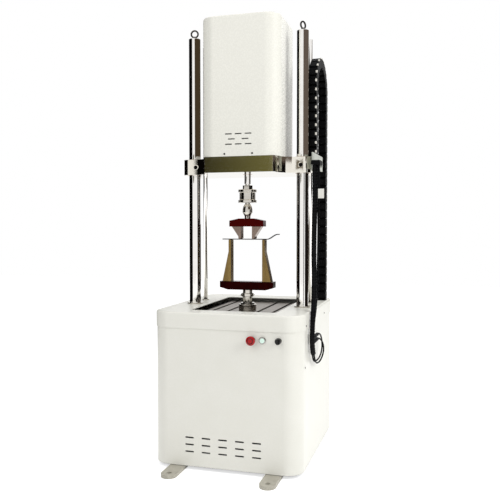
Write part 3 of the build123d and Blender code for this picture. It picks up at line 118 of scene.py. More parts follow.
LOWER_LEAD_ROUTE = (
    (0.352, -0.117, 0.556),
    (0.352, -0.092, 0.556),
    (0.358, -0.066, 0.547),
    (0.364, -0.046, 0.530),
    (0.368, -0.038, 0.506),
    (0.368, -0.046, 0.482),
    (0.365, -0.066, 0.464),
    (0.362, -0.094, 0.453),
    (0.359, -0.128, 0.450),
    (0.3575, -0.165, 0.455),
    (0.3567, -0.2026, 0.477),
    (0.3567, -0.22085, 0.50774),
)

# Where the wrap starts, and the ties round the bundle, in metres
WRAP_TOP = 1.322
TIE_HEIGHTS = (1.235, 1.085, 0.945, 0.800, 0.655)
TIE_THICKNESS = 0.0009
TIE_WIDTH = 0.005

# Outer corner radii of the cabinet and the hood, in metres
CABINET_CORNER = 0.075
HOOD_CORNER = 0.065

# Cable chain, in metres: its clips and how deep the carried cables lie
BEND_CLIPS = 11
CLIP_HALF = 0.006
CLIP_PROUD = 0.0014
CABLE_DEPTH = 0.023

# Points nearer than this are one, in metres
MERGE = 1e-7

# Stage: the strength of the soft light, and how far out the bent cards stand
SOFT_LIGHT = 0.62
CARD_REACH = 3.1


class FatigueMachineSizes(bpy.types.PropertyGroup):
    """Sizes that a user may change."""

    edge_break: bpy.props.FloatProperty(
        name="Edge break", description="Bevel on machined edges", default=0.0006, unit="LENGTH")
    bundle_diameter: bpy.props.FloatProperty(
        name="Bundle", description="Diameter of the cable bundle without its wrap",
        default=0.022, unit="LENGTH")
    lead_diameter: bpy.props.FloatProperty(
        name="Lead", description="Diameter of the two side leads", default=0.007, unit="LENGTH")
    wrap_pitch: bpy.props.FloatProperty(
        name="Wrap pitch", description="Distance between turns of the spiral wrap",
        default=0.013, unit="LENGTH")
    wrap_thickness: bpy.props.FloatProperty(
        name="Wrap strip", description="Thickness of the spiral wrap",
        default=0.0022, unit="LENGTH")
    chain_pitch: bpy.props.FloatProperty(
        name="Chain pitch", description="Distance between the chain's pins", default=0.04067,
        unit="LENGTH")
    chain_clip: bpy.props.FloatProperty(
        name="Chain clip", description="Width of the pale clips on the chain's links",
        default=0.006, unit="LENGTH")
    chain_cable: bpy.props.FloatProperty(
        name="Chain cable", description="Diameter of the cables inside the chain", default=0.0103,
        unit="LENGTH")
    strand_diameter: bpy.props.FloatProperty(
        name="Strand", description="Diameter of the loose strand beside the bundle", default=0.009,
        unit="LENGTH")
    lens: bpy.props.FloatProperty(
        name="Lens", description="Focal length of the camera", default=47.8)


class FatigueMachineFixture(bpy.types.PropertyGroup):
    """Sizes of the bending fixture; widths run from the machine's middle."""

    beam_depth: bpy.props.FloatProperty(
        name="Beam depth", description="Both beams, front to back", default=0.050, unit="LENGTH")
    arm_depth: bpy.props.FloatProperty(
        name="Arm depth", description="All four arms, front to back", default=0.042, unit="LENGTH")
    upper_half: bpy.props.FloatProperty(
        name="Upper beam", description="Half the upper beam's length", default=0.083, unit="LENGTH")
    upper_slope: bpy.props.FloatProperty(
        name="Upper slope", description="Length of the slope at either end of the upper beam",
        default=0.046, unit="LENGTH")
    upper_drop: bpy.props.FloatProperty(
        name="Upper drop", description="Height that the slope loses", default=0.010, unit="LENGTH")
    upper_inset: bpy.props.FloatProperty(
        name="Upper arm", description="Middle to the arm's inner face",
        default=0.0265, unit="LENGTH")
    upper_nose: bpy.props.FloatProperty(
        name="Upper nose", description="Width of the upper arm's nose",
        default=0.013, unit="LENGTH")
    upper_root: bpy.props.FloatProperty(
        name="Upper root", description="Width of the upper arm at its beam",
        default=0.045, unit="LENGTH")
    upper_taper: bpy.props.FloatProperty(
        name="Upper taper", description="Height over which the upper arm widens", default=0.047,
        unit="LENGTH")
    lower_half: bpy.props.FloatProperty(
        name="Lower beam", description="Half the lower beam's length",
        default=0.1305, unit="LENGTH")
    lower_slope: bpy.props.FloatProperty(
        name="Lower slope", description="Length of the slope under either end of the lower beam",
        default=0.038, unit="LENGTH")
    lower_rise: bpy.props.FloatProperty(
        name="Lower rise", description="Height that the underside gains",
        default=0.011, unit="LENGTH")
    lower_inset: bpy.props.FloatProperty(
        name="Lower arm", description="Middle to the arm's inner face",
        default=0.076, unit="LENGTH")
    lower_nose: bpy.props.FloatProperty(
        name="Lower nose", description="Width of the lower arm's nose",
        default=0.012, unit="LENGTH")
    lower_root: bpy.props.FloatProperty(
        name="Lower root", description="Width of the lower arm at its beam",
        default=0.042, unit="LENGTH")
    lower_straight: bpy.props.FloatProperty(
        name="Lower straight", description="Height of the lower arm that stays narrow",
        default=0.056, unit="LENGTH")
    nose_radius: bpy.props.FloatProperty(
        name="Nose radius", description="Round of the arms' noses", default=0.003, unit="LENGTH")
    strip_left: bpy.props.FloatProperty(
        name="Strip left", description="Middle to the strip's left end",
        default=0.121, unit="LENGTH")
    strip_bend: bpy.props.FloatProperty(
        name="Strip bend", description="Middle to where the strip starts to rise", default=0.096,
        unit="LENGTH")
    strip_crest: bpy.props.FloatProperty(
        name="Strip crest", description="Middle to where the strip is level again", default=0.146,
        unit="LENGTH")
    strip_right: bpy.props.FloatProperty(
        name="Strip right", description="Middle to the strip's right end",
        default=0.153, unit="LENGTH")
    strip_rise: bpy.props.FloatProperty(
        name="Strip rise", description="Height of the strip's raised end",
        default=0.023, unit="LENGTH")
    strip_width: bpy.props.FloatProperty(
        name="Strip width", description="The strip, front to back", default=0.025, unit="LENGTH")
    strip_thickness: bpy.props.FloatProperty(
        name="Strip thickness", description="The strip's thickness", default=0.004, unit="LENGTH")


class FatigueMachineColours(bpy.types.PropertyGroup):
    """Colours that a user may change, as sRGB hex values."""

    cabinet: bpy.props.StringProperty(name="Cabinet", description="Powder coat", default="E9E8E0")
    beam: bpy.props.StringProperty(name="Beams", description="Fixture beams", default="460908")
    stop: bpy.props.StringProperty(name="Stop", description="Emergency stop", default="AE0C14")
    lamp: bpy.props.StringProperty(name="Lamp", description="Lit button", default="DDF3E9")
    knob: bpy.props.StringProperty(name="Knob", description="Selector", default="0C0C0E")
    bundle: bpy.props.StringProperty(name="Cables", description="Jackets", default="0B0B0D")


def linear(code):
    """The linear colour of an sRGB hex value."""
    parts = [int(code[index:index + 2], 16) / 255 for index in (0, 2, 4)]
    values = (c / 12.92 if c <= 0.04045 else ((c + 0.055) / 1.055) ** 2.4 for c in parts)
    return (*values, 1.0)


def add(tree, kind, inputs=None, **settings):
    """Adds a node with its settings; an input is a value, or the socket that feeds it."""
    node = tree.nodes.new(kind)
    for name, value in settings.items():
        setattr(node, name, value)
    for name, value in (inputs or {}).items():
        if isinstance(value, bpy.types.NodeSocket):
            tree.links.new(value, node.inputs[name])
        else:
            node.inputs[name].default_value = value
    return node


def inside(tree, low, high, corner):
    """A factor that is 1 in a round-cornered box of object coordinates and 0 outside it."""
    place = add(tree, "ShaderNodeTexCoord").outputs["Object"]
    middle = [(a + b) / 2 for a, b in zip(low, high)]
    straight = [(b - a) / 2 - corner for a, b in zip(low, high)]
    reach = place
    for operation, values in (("SUBTRACT", {1: middle}), ("ABSOLUTE", {}),
                              ("SUBTRACT", {1: straight}), ("MAXIMUM", {1: (0, 0, 0)})):
        reach = add(tree, "ShaderNodeVectorMath", {0: reach, **values},
                    operation=operation).outputs[0]
    reach = add(tree, "ShaderNodeVectorMath", {0: reach}, operation="LENGTH").outputs["Value"]
    return add(tree, "ShaderNodeMath", {0: reach, 1: corner}, operation="LESS_THAN").outputs[0]


def finish(name, light, dark, grain_mm, roughness, bump_mm=0.004, stretch=(1, 1, 1), painted_shade_box=None,
           **shader):
    """A material whose tone, gloss and height vary with a grain of a real size, with painted shade
    on its faces inside a given box.
    """
    material = bpy.data.materials.new(name)
    material.use_nodes = True
    tree = material.node_tree
    tree.nodes.clear()
    place = add(tree, "ShaderNodeTexCoord").outputs["Object"]
    place = add(tree, "ShaderNodeMapping", {"Vector": place, "Scale": stretch}).outputs["Vector"]
    grain = add(tree, "ShaderNodeTexNoise", {"Vector": place, "Scale": 1000 / grain_mm,
                                             "Detail": 3.0, "Roughness": 0.55}).outputs["Fac"]
    cloud = add(tree, "ShaderNodeTexNoise", {"Vector": place, "Scale": 60 / grain_mm,
                                             "Detail": 2.0}).outputs["Fac"]
    both = add(tree, "ShaderNodeMath", {0: grain, 1: cloud}, operation="MULTIPLY").outputs[0]
    tone = add(tree, "ShaderNodeMapRange", {"Value": both, "From Min": 0.12,
                                            "From Max": 0.42}).outputs[0]
    colour = add(tree, "ShaderNodeMix", {"Factor": tone, "A": linear(dark), "B": linear(light)},
                 data_type="RGBA").outputs[2]
    # Painted shade: faces inside the box are coloured near-black, for the dark inside the closed
    # sheets.
    if painted_shade_box:
        colour = add(tree, "ShaderNodeMix", {"Factor": inside(tree, *painted_shade_box), "A": colour,
                                             "B": linear("171614")}, data_type="RGBA").outputs[2]
    gloss = add(tree, "ShaderNodeMapRange", {"Value": grain, "From Min": 0.3, "From Max": 0.7,
                                             "To Min": roughness[0],
                                             "To Max": roughness[1]}).outputs[0]
    bump = add(tree, "ShaderNodeBump", {"Height": grain, "Distance": bump_mm / 1000,
                                        "Strength": 0.6})
    values = {key.replace("_", " ").title().replace("Ior", "IOR"): value
              for key, value in shader.items()}
    surface = add(tree, "ShaderNodeBsdfPrincipled", {
        "Base Color": colour, "Roughness": gloss, "Normal": bump.outputs[0], **values})
    add(tree, "ShaderNodeOutputMaterial", {"Surface": surface.outputs[0]})
    return material


def make_finishes(colours):
    """Makes the machine's finishes."""
    cream = colours.cabinet
    # Epoxy-polyester powder coat on steel: an even cream with a faint orange peel, half gloss.
    # The peel is about 2 mm across and is drawn three times as wide, so that it shows.
    # The sheet's inner faces are painted near-black: painted shade for the dark of the closed
    # cabinet.
    finish("cream_powder_coat", cream, "E6E5DC", 6, (0.30, 0.36), 0.003,
           painted_shade_box=painted_shade_box_of(CABINET_CORNER, "front_panel", "rear_panel",
                            "side_panel_left", "side_panel_right"), ior=1.5)
    # The cover over the cabinet has the same coat.
    finish("cover_powder_coat", cream, "E6E5DC", 6, (0.30, 0.36), 0.003, ior=1.5)
    # The hood has the same coat, baked a little glossier.
    # Its inner faces get the same near-black painted shade.
    finish("hood_powder_coat", "E9E8DF", "E7E6DD", 6, (0.24, 0.30), 0.003,
           painted_shade_box=painted_shade_box_of(HOOD_CORNER, "hood_cover"), ior=1.5)
    # Hard chrome ground round the bar: a mirror with hair-fine rings.
    finish("hard_chrome", "F4F2EF", "EEEBE7", 3, (0.03, 0.06), 0.0005,
           (0.02, 0.02, 1), metallic=1.0)
    # Bright nickel on a ground block: a warm mirror that keeps faint grinding marks.
    finish("bright_nickel", "F0ECE2", "E8E3D8", 4, (0.04, 0.07), 0.0005,
           (0.1, 1, 1), metallic=1.0)
    # Tin bronze, turned: brown and satin.
    finish("tin_bronze", "A47B4A", "8A6238", 2, (0.28, 0.38), 0.01, (1, 1, 0.1),
           metallic=1.0)
    # Stainless steel from the lathe: bright, with rings round the axis.
    finish("turned_stainless", "D2CEC6", "C0BBB2", 2, (0.07, 0.13), 0.001,
           (0.05, 0.05, 1), metallic=1.0)
    # Tool steel, milled and oiled: brown-grey with long cutter marks.
    finish("milled_tool_steel", "94847A", "7A6A60", 3, (0.20, 0.32), 0.004,
           (1, 1, 0.15), metallic=1.0)
    # The same steel in an olive-brown tone.
    finish("olive_tool_steel", "8A7448", "6E5A36", 3, (0.20, 0.32), 0.004,
           (1, 1, 0.15), metallic=1.0)
    # Anodised dark red aluminium: nearly black with a red sheen.
    finish("dark_red_anodising", colours.beam, "3A0807", 1.2, (0.20, 0.30), 0.004,
           metallic=1.0)
    # The same anodising in a darker tone: the lower beam.
    finish("darker_red_anodising", "270504", "190303", 1.2, (0.20, 0.30), 0.004,
           metallic=1.0)
    # Spring steel strip, blued: dark grey with lines along its length.
    finish("blued_strip", "1C1B1A", "121110", 2, (0.32, 0.44), 0.003, (0.1, 1, 1),
           specular_ior_level=0.12)
    # Black oxide on the cap screws: matt black that holds a little oil.
    finish("black_oxide", "1E1D1C", "121110", 1.5, (0.35, 0.5), 0.004, metallic=1.0)
    # Ground steel table: dull grey with lines across the slots.
    finish("ground_table", "A29C94", "8A847C", 4, (0.32, 0.46), 0.004, (0.08, 1, 1),
           metallic=1.0)
    # Hot-rolled plate under thin grey paint: the feet.
    finish("painted_plate", "BDB9AC", "A19D90", 5, (0.4, 0.55), 0.03, ior=1.5)
    # Chrome brushed round the rings of the controls: darker than the polished bars.
    finish("brushed_chrome", "A9A7A3", "93918D", 1.5, (0.16, 0.24), 0.002, metallic=1.0)
    # Forged steel with an oiled scale: the lifting eyes, dark with bright rims.
    finish("forged_steel", "5A5652", "3C3936", 2, (0.14, 0.24), 0.01, metallic=1.0)
    # Zinc-plated steel: bluish grey, slightly cloudy.
    finish("zinc_plate", "A9A8A4", "83827E", 3, (0.14, 0.24), 0.004, metallic=1.0)
    # Nitrile rubber: black and dull with a fine matt skin.
    finish("nitrile_rubber", "101010", "080808", 1.5, (0.55, 0.7), 0.02,
           specular_ior_level=0.2, ior=1.5)
    # Glass-filled nylon, moulded: black with a soft sheen.
    finish("black_nylon", "0A0A0C", "060607", 1.6, (0.42, 0.55), 0.02,
           specular_ior_level=0.06, ior=1.53)
    # Natural nylon caps on the chain's pins: off-white.
    finish("natural_nylon", "E6E3DA", "CFCBC0", 1.6, (0.35, 0.5), 0.02, ior=1.53)
    # Grey enamel over steel: the cable bracket.
    finish("grey_enamel", "B7BAB1", "A9ACA3", 3, (0.35, 0.48), 0.01, ior=1.5)
    # White ABS: the tag below the clamp.
    finish("white_abs", "E8E7E1", "DAD8D0", 2, (0.35, 0.45), 0.01, ior=1.54)
    # PVC jackets: black with a faint grain from the die.
    finish("pvc_jacket", colours.bundle, "060607", 1.5, (0.40, 0.52), 0.02,
           specular_ior_level=0.08, ior=1.52)
    # Polyethylene wrap: black and waxy.
    finish("polyethylene_wrap", "0E0E10", "09090A", 2, (0.36, 0.48), 0.01,
           specular_ior_level=0.15, ior=1.51)
    # Red ABS, polished mould: the stop's head.
    finish("red_abs", colours.stop, "9C0910", 3, (0.16, 0.24), 0.004,
           specular_ior_level=0.25, ior=1.54)
    # Frosted polycarbonate over a green lamp, which is on.
    finish("lit_polycarbonate", colours.lamp, "CDEBDD", 3, (0.2, 0.3), 0.004,
           ior=1.58, emission_color=linear(colours.lamp), emission_strength=0.12)
    # Black phenolic, polished: the selector.
    finish("black_phenolic", colours.knob, "070708", 3, (0.16, 0.26), 0.004,
           specular_ior_level=0.2, ior=1.6)
    # Grey primer on the welded frame and the shelf.
    finish("grey_primer", "54575A", "45484B", 3, (0.5, 0.65), 0.03, ior=1.5)
    # Cast and turned aluminium: the motor's body.
    finish("turned_aluminium", "C6C6C4", "AFAFAC", 2, (0.26, 0.36), 0.006,
           (0.05, 0.05, 1), metallic=1.0)
    # Varnished copper winding.
    finish("varnished_copper", "9A4F2A", "6F3318", 1.5, (0.3, 0.42), 0.05,
           (0.1, 0.1, 1), metallic=0.8)
    # Dark paint on the drive's aluminium fins.
    finish("dark_enamel", "2A2C30", "1F2124", 3, (0.4, 0.52), 0.02, ior=1.5)
    # Galvanised sheet: spangled light grey.
    finish("galvanised_sheet", "B9BCBE", "9DA0A3", 9, (0.3, 0.45), 0.01, metallic=1.0)


def painted_shade_box_of(corner, *nodes):
    """The round-cornered box just under the outer faces of packed sheets, inside which the faces get
    painted shade.
    """
    skin = 0.0007
    boxes = [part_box(node) for node in nodes]
    low = [min(box[0][axis] for box in boxes) + skin for axis in range(3)]
    high = [max(box[1][axis] for box in boxes) - skin for axis in range(3)]
    return low, high, corner - skin


def finish_named(name):
    """A finish, made the first time that it is asked for."""
    if name not in bpy.data.materials:
        make_finishes(bpy.context.scene.fatigue_machine_colours)
    return bpy.data.materials[name]


def coat(finish_name, *nodes):
    """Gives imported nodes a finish."""
    for node in nodes:
        NODES[node].data.materials[0] = finish_named(finish_name)


def body_of(node):
    """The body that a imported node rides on."""
    groups = frame["record"]["behaviour"]["bodies"]
    return next(body for body, members in groups.items() if node in members)


def new_piece(name, mesh_data, finishes):
    """An object for a finished bmesh, with its materials and smooth faces."""
    for face in mesh_data.faces:
        face.smooth = True
    mesh = bpy.data.meshes.new(name)
    mesh_data.to_mesh(mesh)
    mesh_data.free()
    piece = bpy.data.objects.new(name, mesh)
    for finish_name in finishes:
        mesh.materials.append(finish_named(finish_name))
    bpy.context.scene.collection.objects.link(piece)
    return piece


def soften(piece, width, segments=2):
    """A small bevel on the piece's sharp edges, with its flat faces kept flat."""
    bevel = piece.modifiers.new("edge_break", "BEVEL")
    bevel.width = width
    bevel.segments = segments
    bevel.limit_method = "ANGLE"
    bevel.angle_limit = math.radians(32)
    flat = piece.modifiers.new("flat_faces", "WEIGHTED_NORMAL")
    flat.mode = "FACE_AREA"
    flat.weight = 100
    flat.keep_sharp = True
    return piece


def stand_for(piece, *nodes):
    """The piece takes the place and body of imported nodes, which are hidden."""
    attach(piece, body_of(nodes[0]))
    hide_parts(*nodes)
    return piece


def merged(*nodes):
    """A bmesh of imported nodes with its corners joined, and its wide faces whole and marked off."""
    mesh = bmesh.new()
    for node in nodes:
        mesh.from_mesh(NODES[node].data)
    bmesh.ops.remove_doubles(mesh, verts=mesh.verts, dist=1e-6)
    bmesh.ops.dissolve_limit(mesh, angle_limit=math.radians(0.4), verts=mesh.verts,
                             edges=mesh.edges)
    for edge in mesh.edges:
        areas = sorted(face.calc_area() for face in edge.link_faces)
        edge.smooth = (len(areas) != 2 or areas[1] < 6 * areas[0]
                       or edge.calc_face_angle() < math.radians(0.5))
    return mesh


def softened(finish_name, *nodes, width=None):
    """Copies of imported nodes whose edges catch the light."""
    sizes = bpy.context.scene.fatigue_machine_sizes
    for node in nodes:
        piece = new_piece(node + "_edged", merged(node), [finish_name])
        soften(piece, width or sizes.edge_break)
        stand_for(piece, node)


def drawn(mesh, outline, depth, middle):
    """Adds a bar to a bmesh: an outline of (x, z) points, drawn out front to back."""
    corners = [mesh.verts.new((x, middle - depth / 2, z)) for x, z in outline]
    bar = bmesh.ops.extrude_face_region(mesh, geom=[mesh.faces.new(corners)])
    back = [item for item in bar["geom"] if isinstance(item, bmesh.types.BMVert)]
    bmesh.ops.translate(mesh, vec=(0, depth, 0), verts=back)
    bmesh.ops.recalc_face_normals(mesh, faces=mesh.faces)


def block(mesh, low, high):
    """Adds a box to a bmesh and returns its corners."""
    low, high = Vector(low), Vector(high)
    place = Matrix.Translation((low + high) / 2) @ Matrix.Diagonal((*(high - low), 1))
    return bmesh.ops.create_cube(mesh, size=1, matrix=place)["verts"]


def turned(name, profile, centre, finish_name, closed=False, lying=False, steps=96):
    """A turned piece from (radius, height) points; a lying one points to the front."""
    mesh = bmesh.new()
    points = [mesh.verts.new((radius, 0, height)) for radius, height in profile]
    ends = points[1:] + points[:1] if closed else points[1:]
    edges = [mesh.edges.new(pair) for pair in zip(points, ends)]
    bmesh.ops.spin(mesh, geom=points + edges, cent=(0, 0, 0), axis=(0, 0, 1),
                   angle=2 * math.pi, steps=steps, use_merge=True)
    bmesh.ops.remove_doubles(mesh, verts=mesh.verts, dist=MERGE)
    bmesh.ops.recalc_face_normals(mesh, faces=mesh.faces)
    turn = Matrix.Rotation(math.pi / 2, 4, "X") if lying else Matrix.Identity(4)
    bmesh.ops.transform(mesh, matrix=Matrix.Translation(centre) @ turn, verts=mesh.verts)
    return new_piece(name, mesh, [finish_name])


def route_curve(name, route, diameter, finish_name):
    """A cable as a smooth spline through its route."""
    curve = bpy.data.curves.new(name, "CURVE")
    curve.dimensions = "3D"
    curve.resolution_u = 8
    curve.bevel_depth = diameter / 2
    curve.bevel_resolution = 6
    curve.use_fill_caps = True
    spline = curve.splines.new("NURBS")
    spline.points.add(len(route) - 1)
    for point, place in zip(spline.points, route):
        point.co = (*place, 1.0)
    spline.order_u = 3
    spline.use_endpoint_u = True
    cable = bpy.data.objects.new(name, curve)
    curve.materials.append(finish_named(finish_name))
    bpy.context.scene.collection.objects.link(cable)
    return cable


def line_points(cable):
    """The points of a cable's centreline."""
    depth = cable.data.bevel_depth
    cable.data.bevel_depth = 0.0
    bpy.context.view_layer.update()
    graph = bpy.context.evaluated_depsgraph_get()
    line = bpy.data.meshes.new_from_object(cable.evaluated_get(graph))
    points = [vertex.co.copy() for vertex in line.vertices]
    bpy.data.meshes.remove(line)
    cable.data.bevel_depth = depth
    bpy.context.view_layer.update()
    return points


def as_mesh(cable):
    """The cable's curve turned into a mesh piece with the same name."""
    graph = bpy.context.evaluated_depsgraph_get()
    mesh = bpy.data.meshes.new_from_object(cable.evaluated_get(graph))
    name = cable.name
    bpy.data.objects.remove(cable)
    piece = bpy.data.objects.new(name, mesh)
    bpy.context.scene.collection.objects.link(piece)
    return piece


def helix_along(points, radius, pitch, per_turn=12):
    """Points of a helix round a line of points, at even steps along it."""
    steps = [0.0]
    for before, after in zip(points, points[1:]):
        steps.append(steps[-1] + (after - before).length)
    count = int(steps[-1] / pitch * per_turn)
    side = Vector((1, 0, 0))
    helix = []
    index = 0
    for number in range(count + 1):
        reach = min(number * pitch / per_turn, steps[-1] - 1e-6)
        while steps[index + 1] < reach:
            index += 1
        share = (reach - steps[index]) / (steps[index + 1] - steps[index])
        along = (points[index + 1] - points[index]).normalized()
        across = (side - along * side.dot(along)).normalized()
        turn = Matrix.Rotation(2 * math.pi * number / per_turn, 3, along)
        helix.append(points[index].lerp(points[index + 1], share) + turn @ across * radius)
    return helix


class RigOperator:
    """What the machine's operators share."""

    bl_options = {"REGISTER", "UNDO"}


class FATIGUE_OT_camera(RigOperator, bpy.types.Operator):
    """Sets the camera to the right of the machine, at table height"""

    bl_idname = "fatigue.camera"
    bl_label = "Camera"

    def execute(self, context):
        data = bpy.data.cameras.new("camera")
        data.lens = context.scene.fatigue_machine_sizes.lens
        data.sensor_width = 36.0
        camera = bpy.data.objects.new("camera", data)
        camera.location = (0.8934, -3.0708, 1.0675)
        camera.rotation_euler = (math.radians(90 - 2.1), 0.0, math.radians(16.2))
        context.scene.collection.objects.link(camera)
        context.scene.camera = camera
        return {"FINISHED"}


class FATIGUE_OT_cables(RigOperator, bpy.types.Operator):
    """Lays the wrapped cable bundle and the two side leads"""

    bl_idname = "fatigue.cables"
    bl_label = "Cables"

    def execute(self, context):
        sizes = context.scene.fatigue_machine_sizes
        bundle = route_curve("cable_bundle_jackets", BUNDLE_ROUTE, sizes.bundle_diameter,
                             "pvc_jacket")
        line = line_points(bundle)
        bundle = as_mesh(bundle)
        wrap = self.wrap(line, sizes)
        ties = self.ties(line, sizes)
        strand = as_mesh(route_curve("loose_strand", STRAND_ROUTE, sizes.strand_diameter,
                                     "pvc_jacket"))
        pieces = [bundle, wrap, ties, strand]
        for piece in pieces:
            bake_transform(piece)
        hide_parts("cable_bundle")
        rows = (("upper_lead", UPPER_LEAD_ROUTE, 0.371), ("lower_lead", LOWER_LEAD_ROUTE, 0.335))
        for name, route, length in rows:
            lead = route_curve(name, route, sizes.lead_diameter, "pvc_jacket")
            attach(lead, "root")
            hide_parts("side_cables")
        return {"FINISHED"}

    def wrap(self, line, sizes):
        """Spiral strip round the bundle, from under the clamp to the leads."""
        reach = sizes.bundle_diameter / 2
        start = next(index for index, point in enumerate(line) if point.z < WRAP_TOP)
        helix = helix_along(line[start:], reach, sizes.wrap_pitch)
        curve = bpy.data.curves.new("bundle_wrap", "CURVE")
        curve.dimensions = "3D"
        curve.bevel_depth = sizes.wrap_thickness / 2
        curve.bevel_resolution = 2
        curve.use_fill_caps = True
        spline = curve.splines.new("POLY")
        spline.points.add(len(helix) - 1)
        for point, place in zip(spline.points, helix):
            point.co = (*place, 1.0)
        wrap = bpy.data.objects.new("bundle_wrap", curve)
        curve.materials.append(finish_named("polyethylene_wrap"))
        bpy.context.scene.collection.objects.link(wrap)
        bpy.context.view_layer.update()
        return as_mesh(wrap)

    def ties(self, line, sizes):
        """Cable ties, each a band round the bundle."""
        mesh = bmesh.new()
        radius = sizes.bundle_diameter / 2 + TIE_THICKNESS
        for height in TIE_HEIGHTS:
            index = next(i for i, point in enumerate(line) if point.z < height)
            along = (line[index + 1] - line[index]).normalized()
            turn = along.to_track_quat("Z", "Y").to_matrix().to_4x4()
            place = Matrix.Translation(line[index]) @ turn
            band = bmesh.ops.create_cone(mesh, cap_ends=True, segments=32, radius1=radius,
                                         radius2=radius, depth=TIE_WIDTH)
            bmesh.ops.transform(mesh, matrix=place, verts=band["verts"])
        return new_piece("bundle_ties", mesh, ["black_nylon"])


class FATIGUE_OT_cabinet(RigOperator, bpy.types.Operator):
    """Coats the cabinet, its cover, feet and screws"""

    bl_idname = "fatigue.cabinet"
    bl_label = "Cabinet"

    def execute(self, context):
        coat("cream_powder_coat", "front_panel", "rear_panel", "side_panel_left",
             "side_panel_right")
        coat("cover_powder_coat", "top_cover")
        coat("grey_primer", "base_frame", "equipment_shelf")
        coat("zinc_plate", "cover_screws", "column_nuts")
        softened("painted_plate", "floor_feet", width=0.0012)
        coat("ground_table", "base_plate")
        return {"FINISHED"}


class FATIGUE_OT_table(RigOperator, bpy.types.Operator):
    """Finishes the slotted table and its seal"""

    bl_idname = "fatigue.table"
    bl_label = "Table"

    def execute(self, context):
        softened("ground_table", "t_slot_table")
        coat("nitrile_rubber", "table_seal")
        return {"FINISHED"}


class FATIGUE_OT_guides(RigOperator, bpy.types.Operator):
    """Turns the columns, the lifting rods and their collars"""

    bl_idname = "fatigue.guides"
    bl_label = "Columns and rods"

    def execute(self, context):
        for node in ("column_left", "column_right"):
            low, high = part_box(node)
            centre = ((low.x + high.x) / 2, (low.y + high.y) / 2, 0)
            radius = (high.x - low.x) / 2
            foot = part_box("base_frame")[1].z
            shoulder = foot + 0.030
            profile = [(0, low.z), (0.020, low.z), (0.020, shoulder), (radius, shoulder),
                       (radius, high.z - 0.002), (radius - 0.002, high.z), (0, high.z)]
            piece = turned(node + "_bar", profile, centre, "hard_chrome")
            soften(piece, 0.0004)
            stand_for(piece, node)
        self.rods()
        coat("turned_stainless", "column_collars")
        self.eyes()
        return {"FINISHED"}

    def eyes(self):
        """A lifting eye on each column, both at one height; the right one stands across."""
        low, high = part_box("eye_bolts")
        major, wire, collar = 0.016, 0.004, 0.012
        mesh = bmesh.new()
        for node, turn in (("column_left", 12), ("column_right", 62)):
            foot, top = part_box(node)
            x, y = (foot.x + top.x) / 2, (foot.y + top.y) / 2
            place = Matrix.Translation((x, y, high.z - major - wire))
            place = place @ Matrix.Rotation(math.radians(turn), 4, "Z")
            verts = bmesh.ops.create_circle(mesh, segments=20, radius=wire,
                                            matrix=Matrix.Translation((major, 0, 0)))["verts"]
            edges = list({edge for vert in verts for edge in vert.link_edges})
            bmesh.ops.spin(mesh, geom=verts + edges, cent=(0, 0, 0), axis=(0, 1, 0),
                           angle=2 * math.pi, steps=48, use_merge=True)
            made = [vert for vert in mesh.verts if not vert.tag]
            bmesh.ops.transform(mesh, matrix=place, verts=made)
            base = Matrix.Translation((x, y, (low.z + high.z) / 2 - major))
            disc = bmesh.ops.create_cone(mesh, cap_ends=True, segments=40, radius1=collar,
                                         radius2=wire * 1.4, depth=high.z - low.z - 2 * major,
                                         matrix=base)
            for vert in made + disc["verts"]:
                vert.tag = True
        bmesh.ops.remove_doubles(mesh, verts=mesh.verts, dist=MERGE)
        bmesh.ops.recalc_face_normals(mesh, faces=mesh.faces)
        eyes = soften(new_piece("lifting_eyes", mesh, ["forged_steel"]), 0.0006)
        stand_for(eyes, "eye_bolts")

    def rods(self):
        """Both thin rods as one piece."""
        low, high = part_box("lifting_rods")
        radius = (high.y - low.y) / 2
        y = (low.y + high.y) / 2
        profile = [(0, low.z), (radius, low.z), (radius, high.z - 0.002),
                   (radius - 0.002, high.z), (0, high.z)]
        left = turned("lifting_rod_bars", profile, (low.x + radius, y, 0), "hard_chrome", steps=64)
        right = turned("lifting_rod_right", profile, (high.x - radius, y, 0), "hard_chrome",
                       steps=64)
        mesh = bmesh.new()
        mesh.from_mesh(left.data)
        mesh.from_mesh(right.data)
        mesh.to_mesh(left.data)
        mesh.free()
        bpy.data.objects.remove(right)
        stand_for(left, "lifting_rods")


class FATIGUE_OT_crosshead(RigOperator, bpy.types.Operator):
    """Finishes the crosshead, its bushes, screws, hood and motor"""

    bl_idname = "fatigue.crosshead"
    bl_label = "Crosshead and hood"

    def execute(self, context):
        softened("bright_nickel", "crosshead_plate")
        coat("tin_bronze", "column_bushes", "rod_bush")
        coat("black_oxide", "crosshead_screws")
        coat("hood_powder_coat", "hood_cover")
        coat("turned_aluminium", "motor_housing", "motor_lid")
        coat("varnished_copper", "motor_coil")
        softened("hard_chrome", "motor_rod")
        return {"FINISHED"}


class FATIGUE_OT_load_train(RigOperator, bpy.types.Operator):
    """Finishes the load cell, lock nut and alignment joint"""

    bl_idname = "fatigue.load_train"
    bl_label = "Load train"

    def execute(self, context):
        softened("turned_stainless", "rod_lock_nut", "load_cell", "alignment_joint")
        return {"FINISHED"}


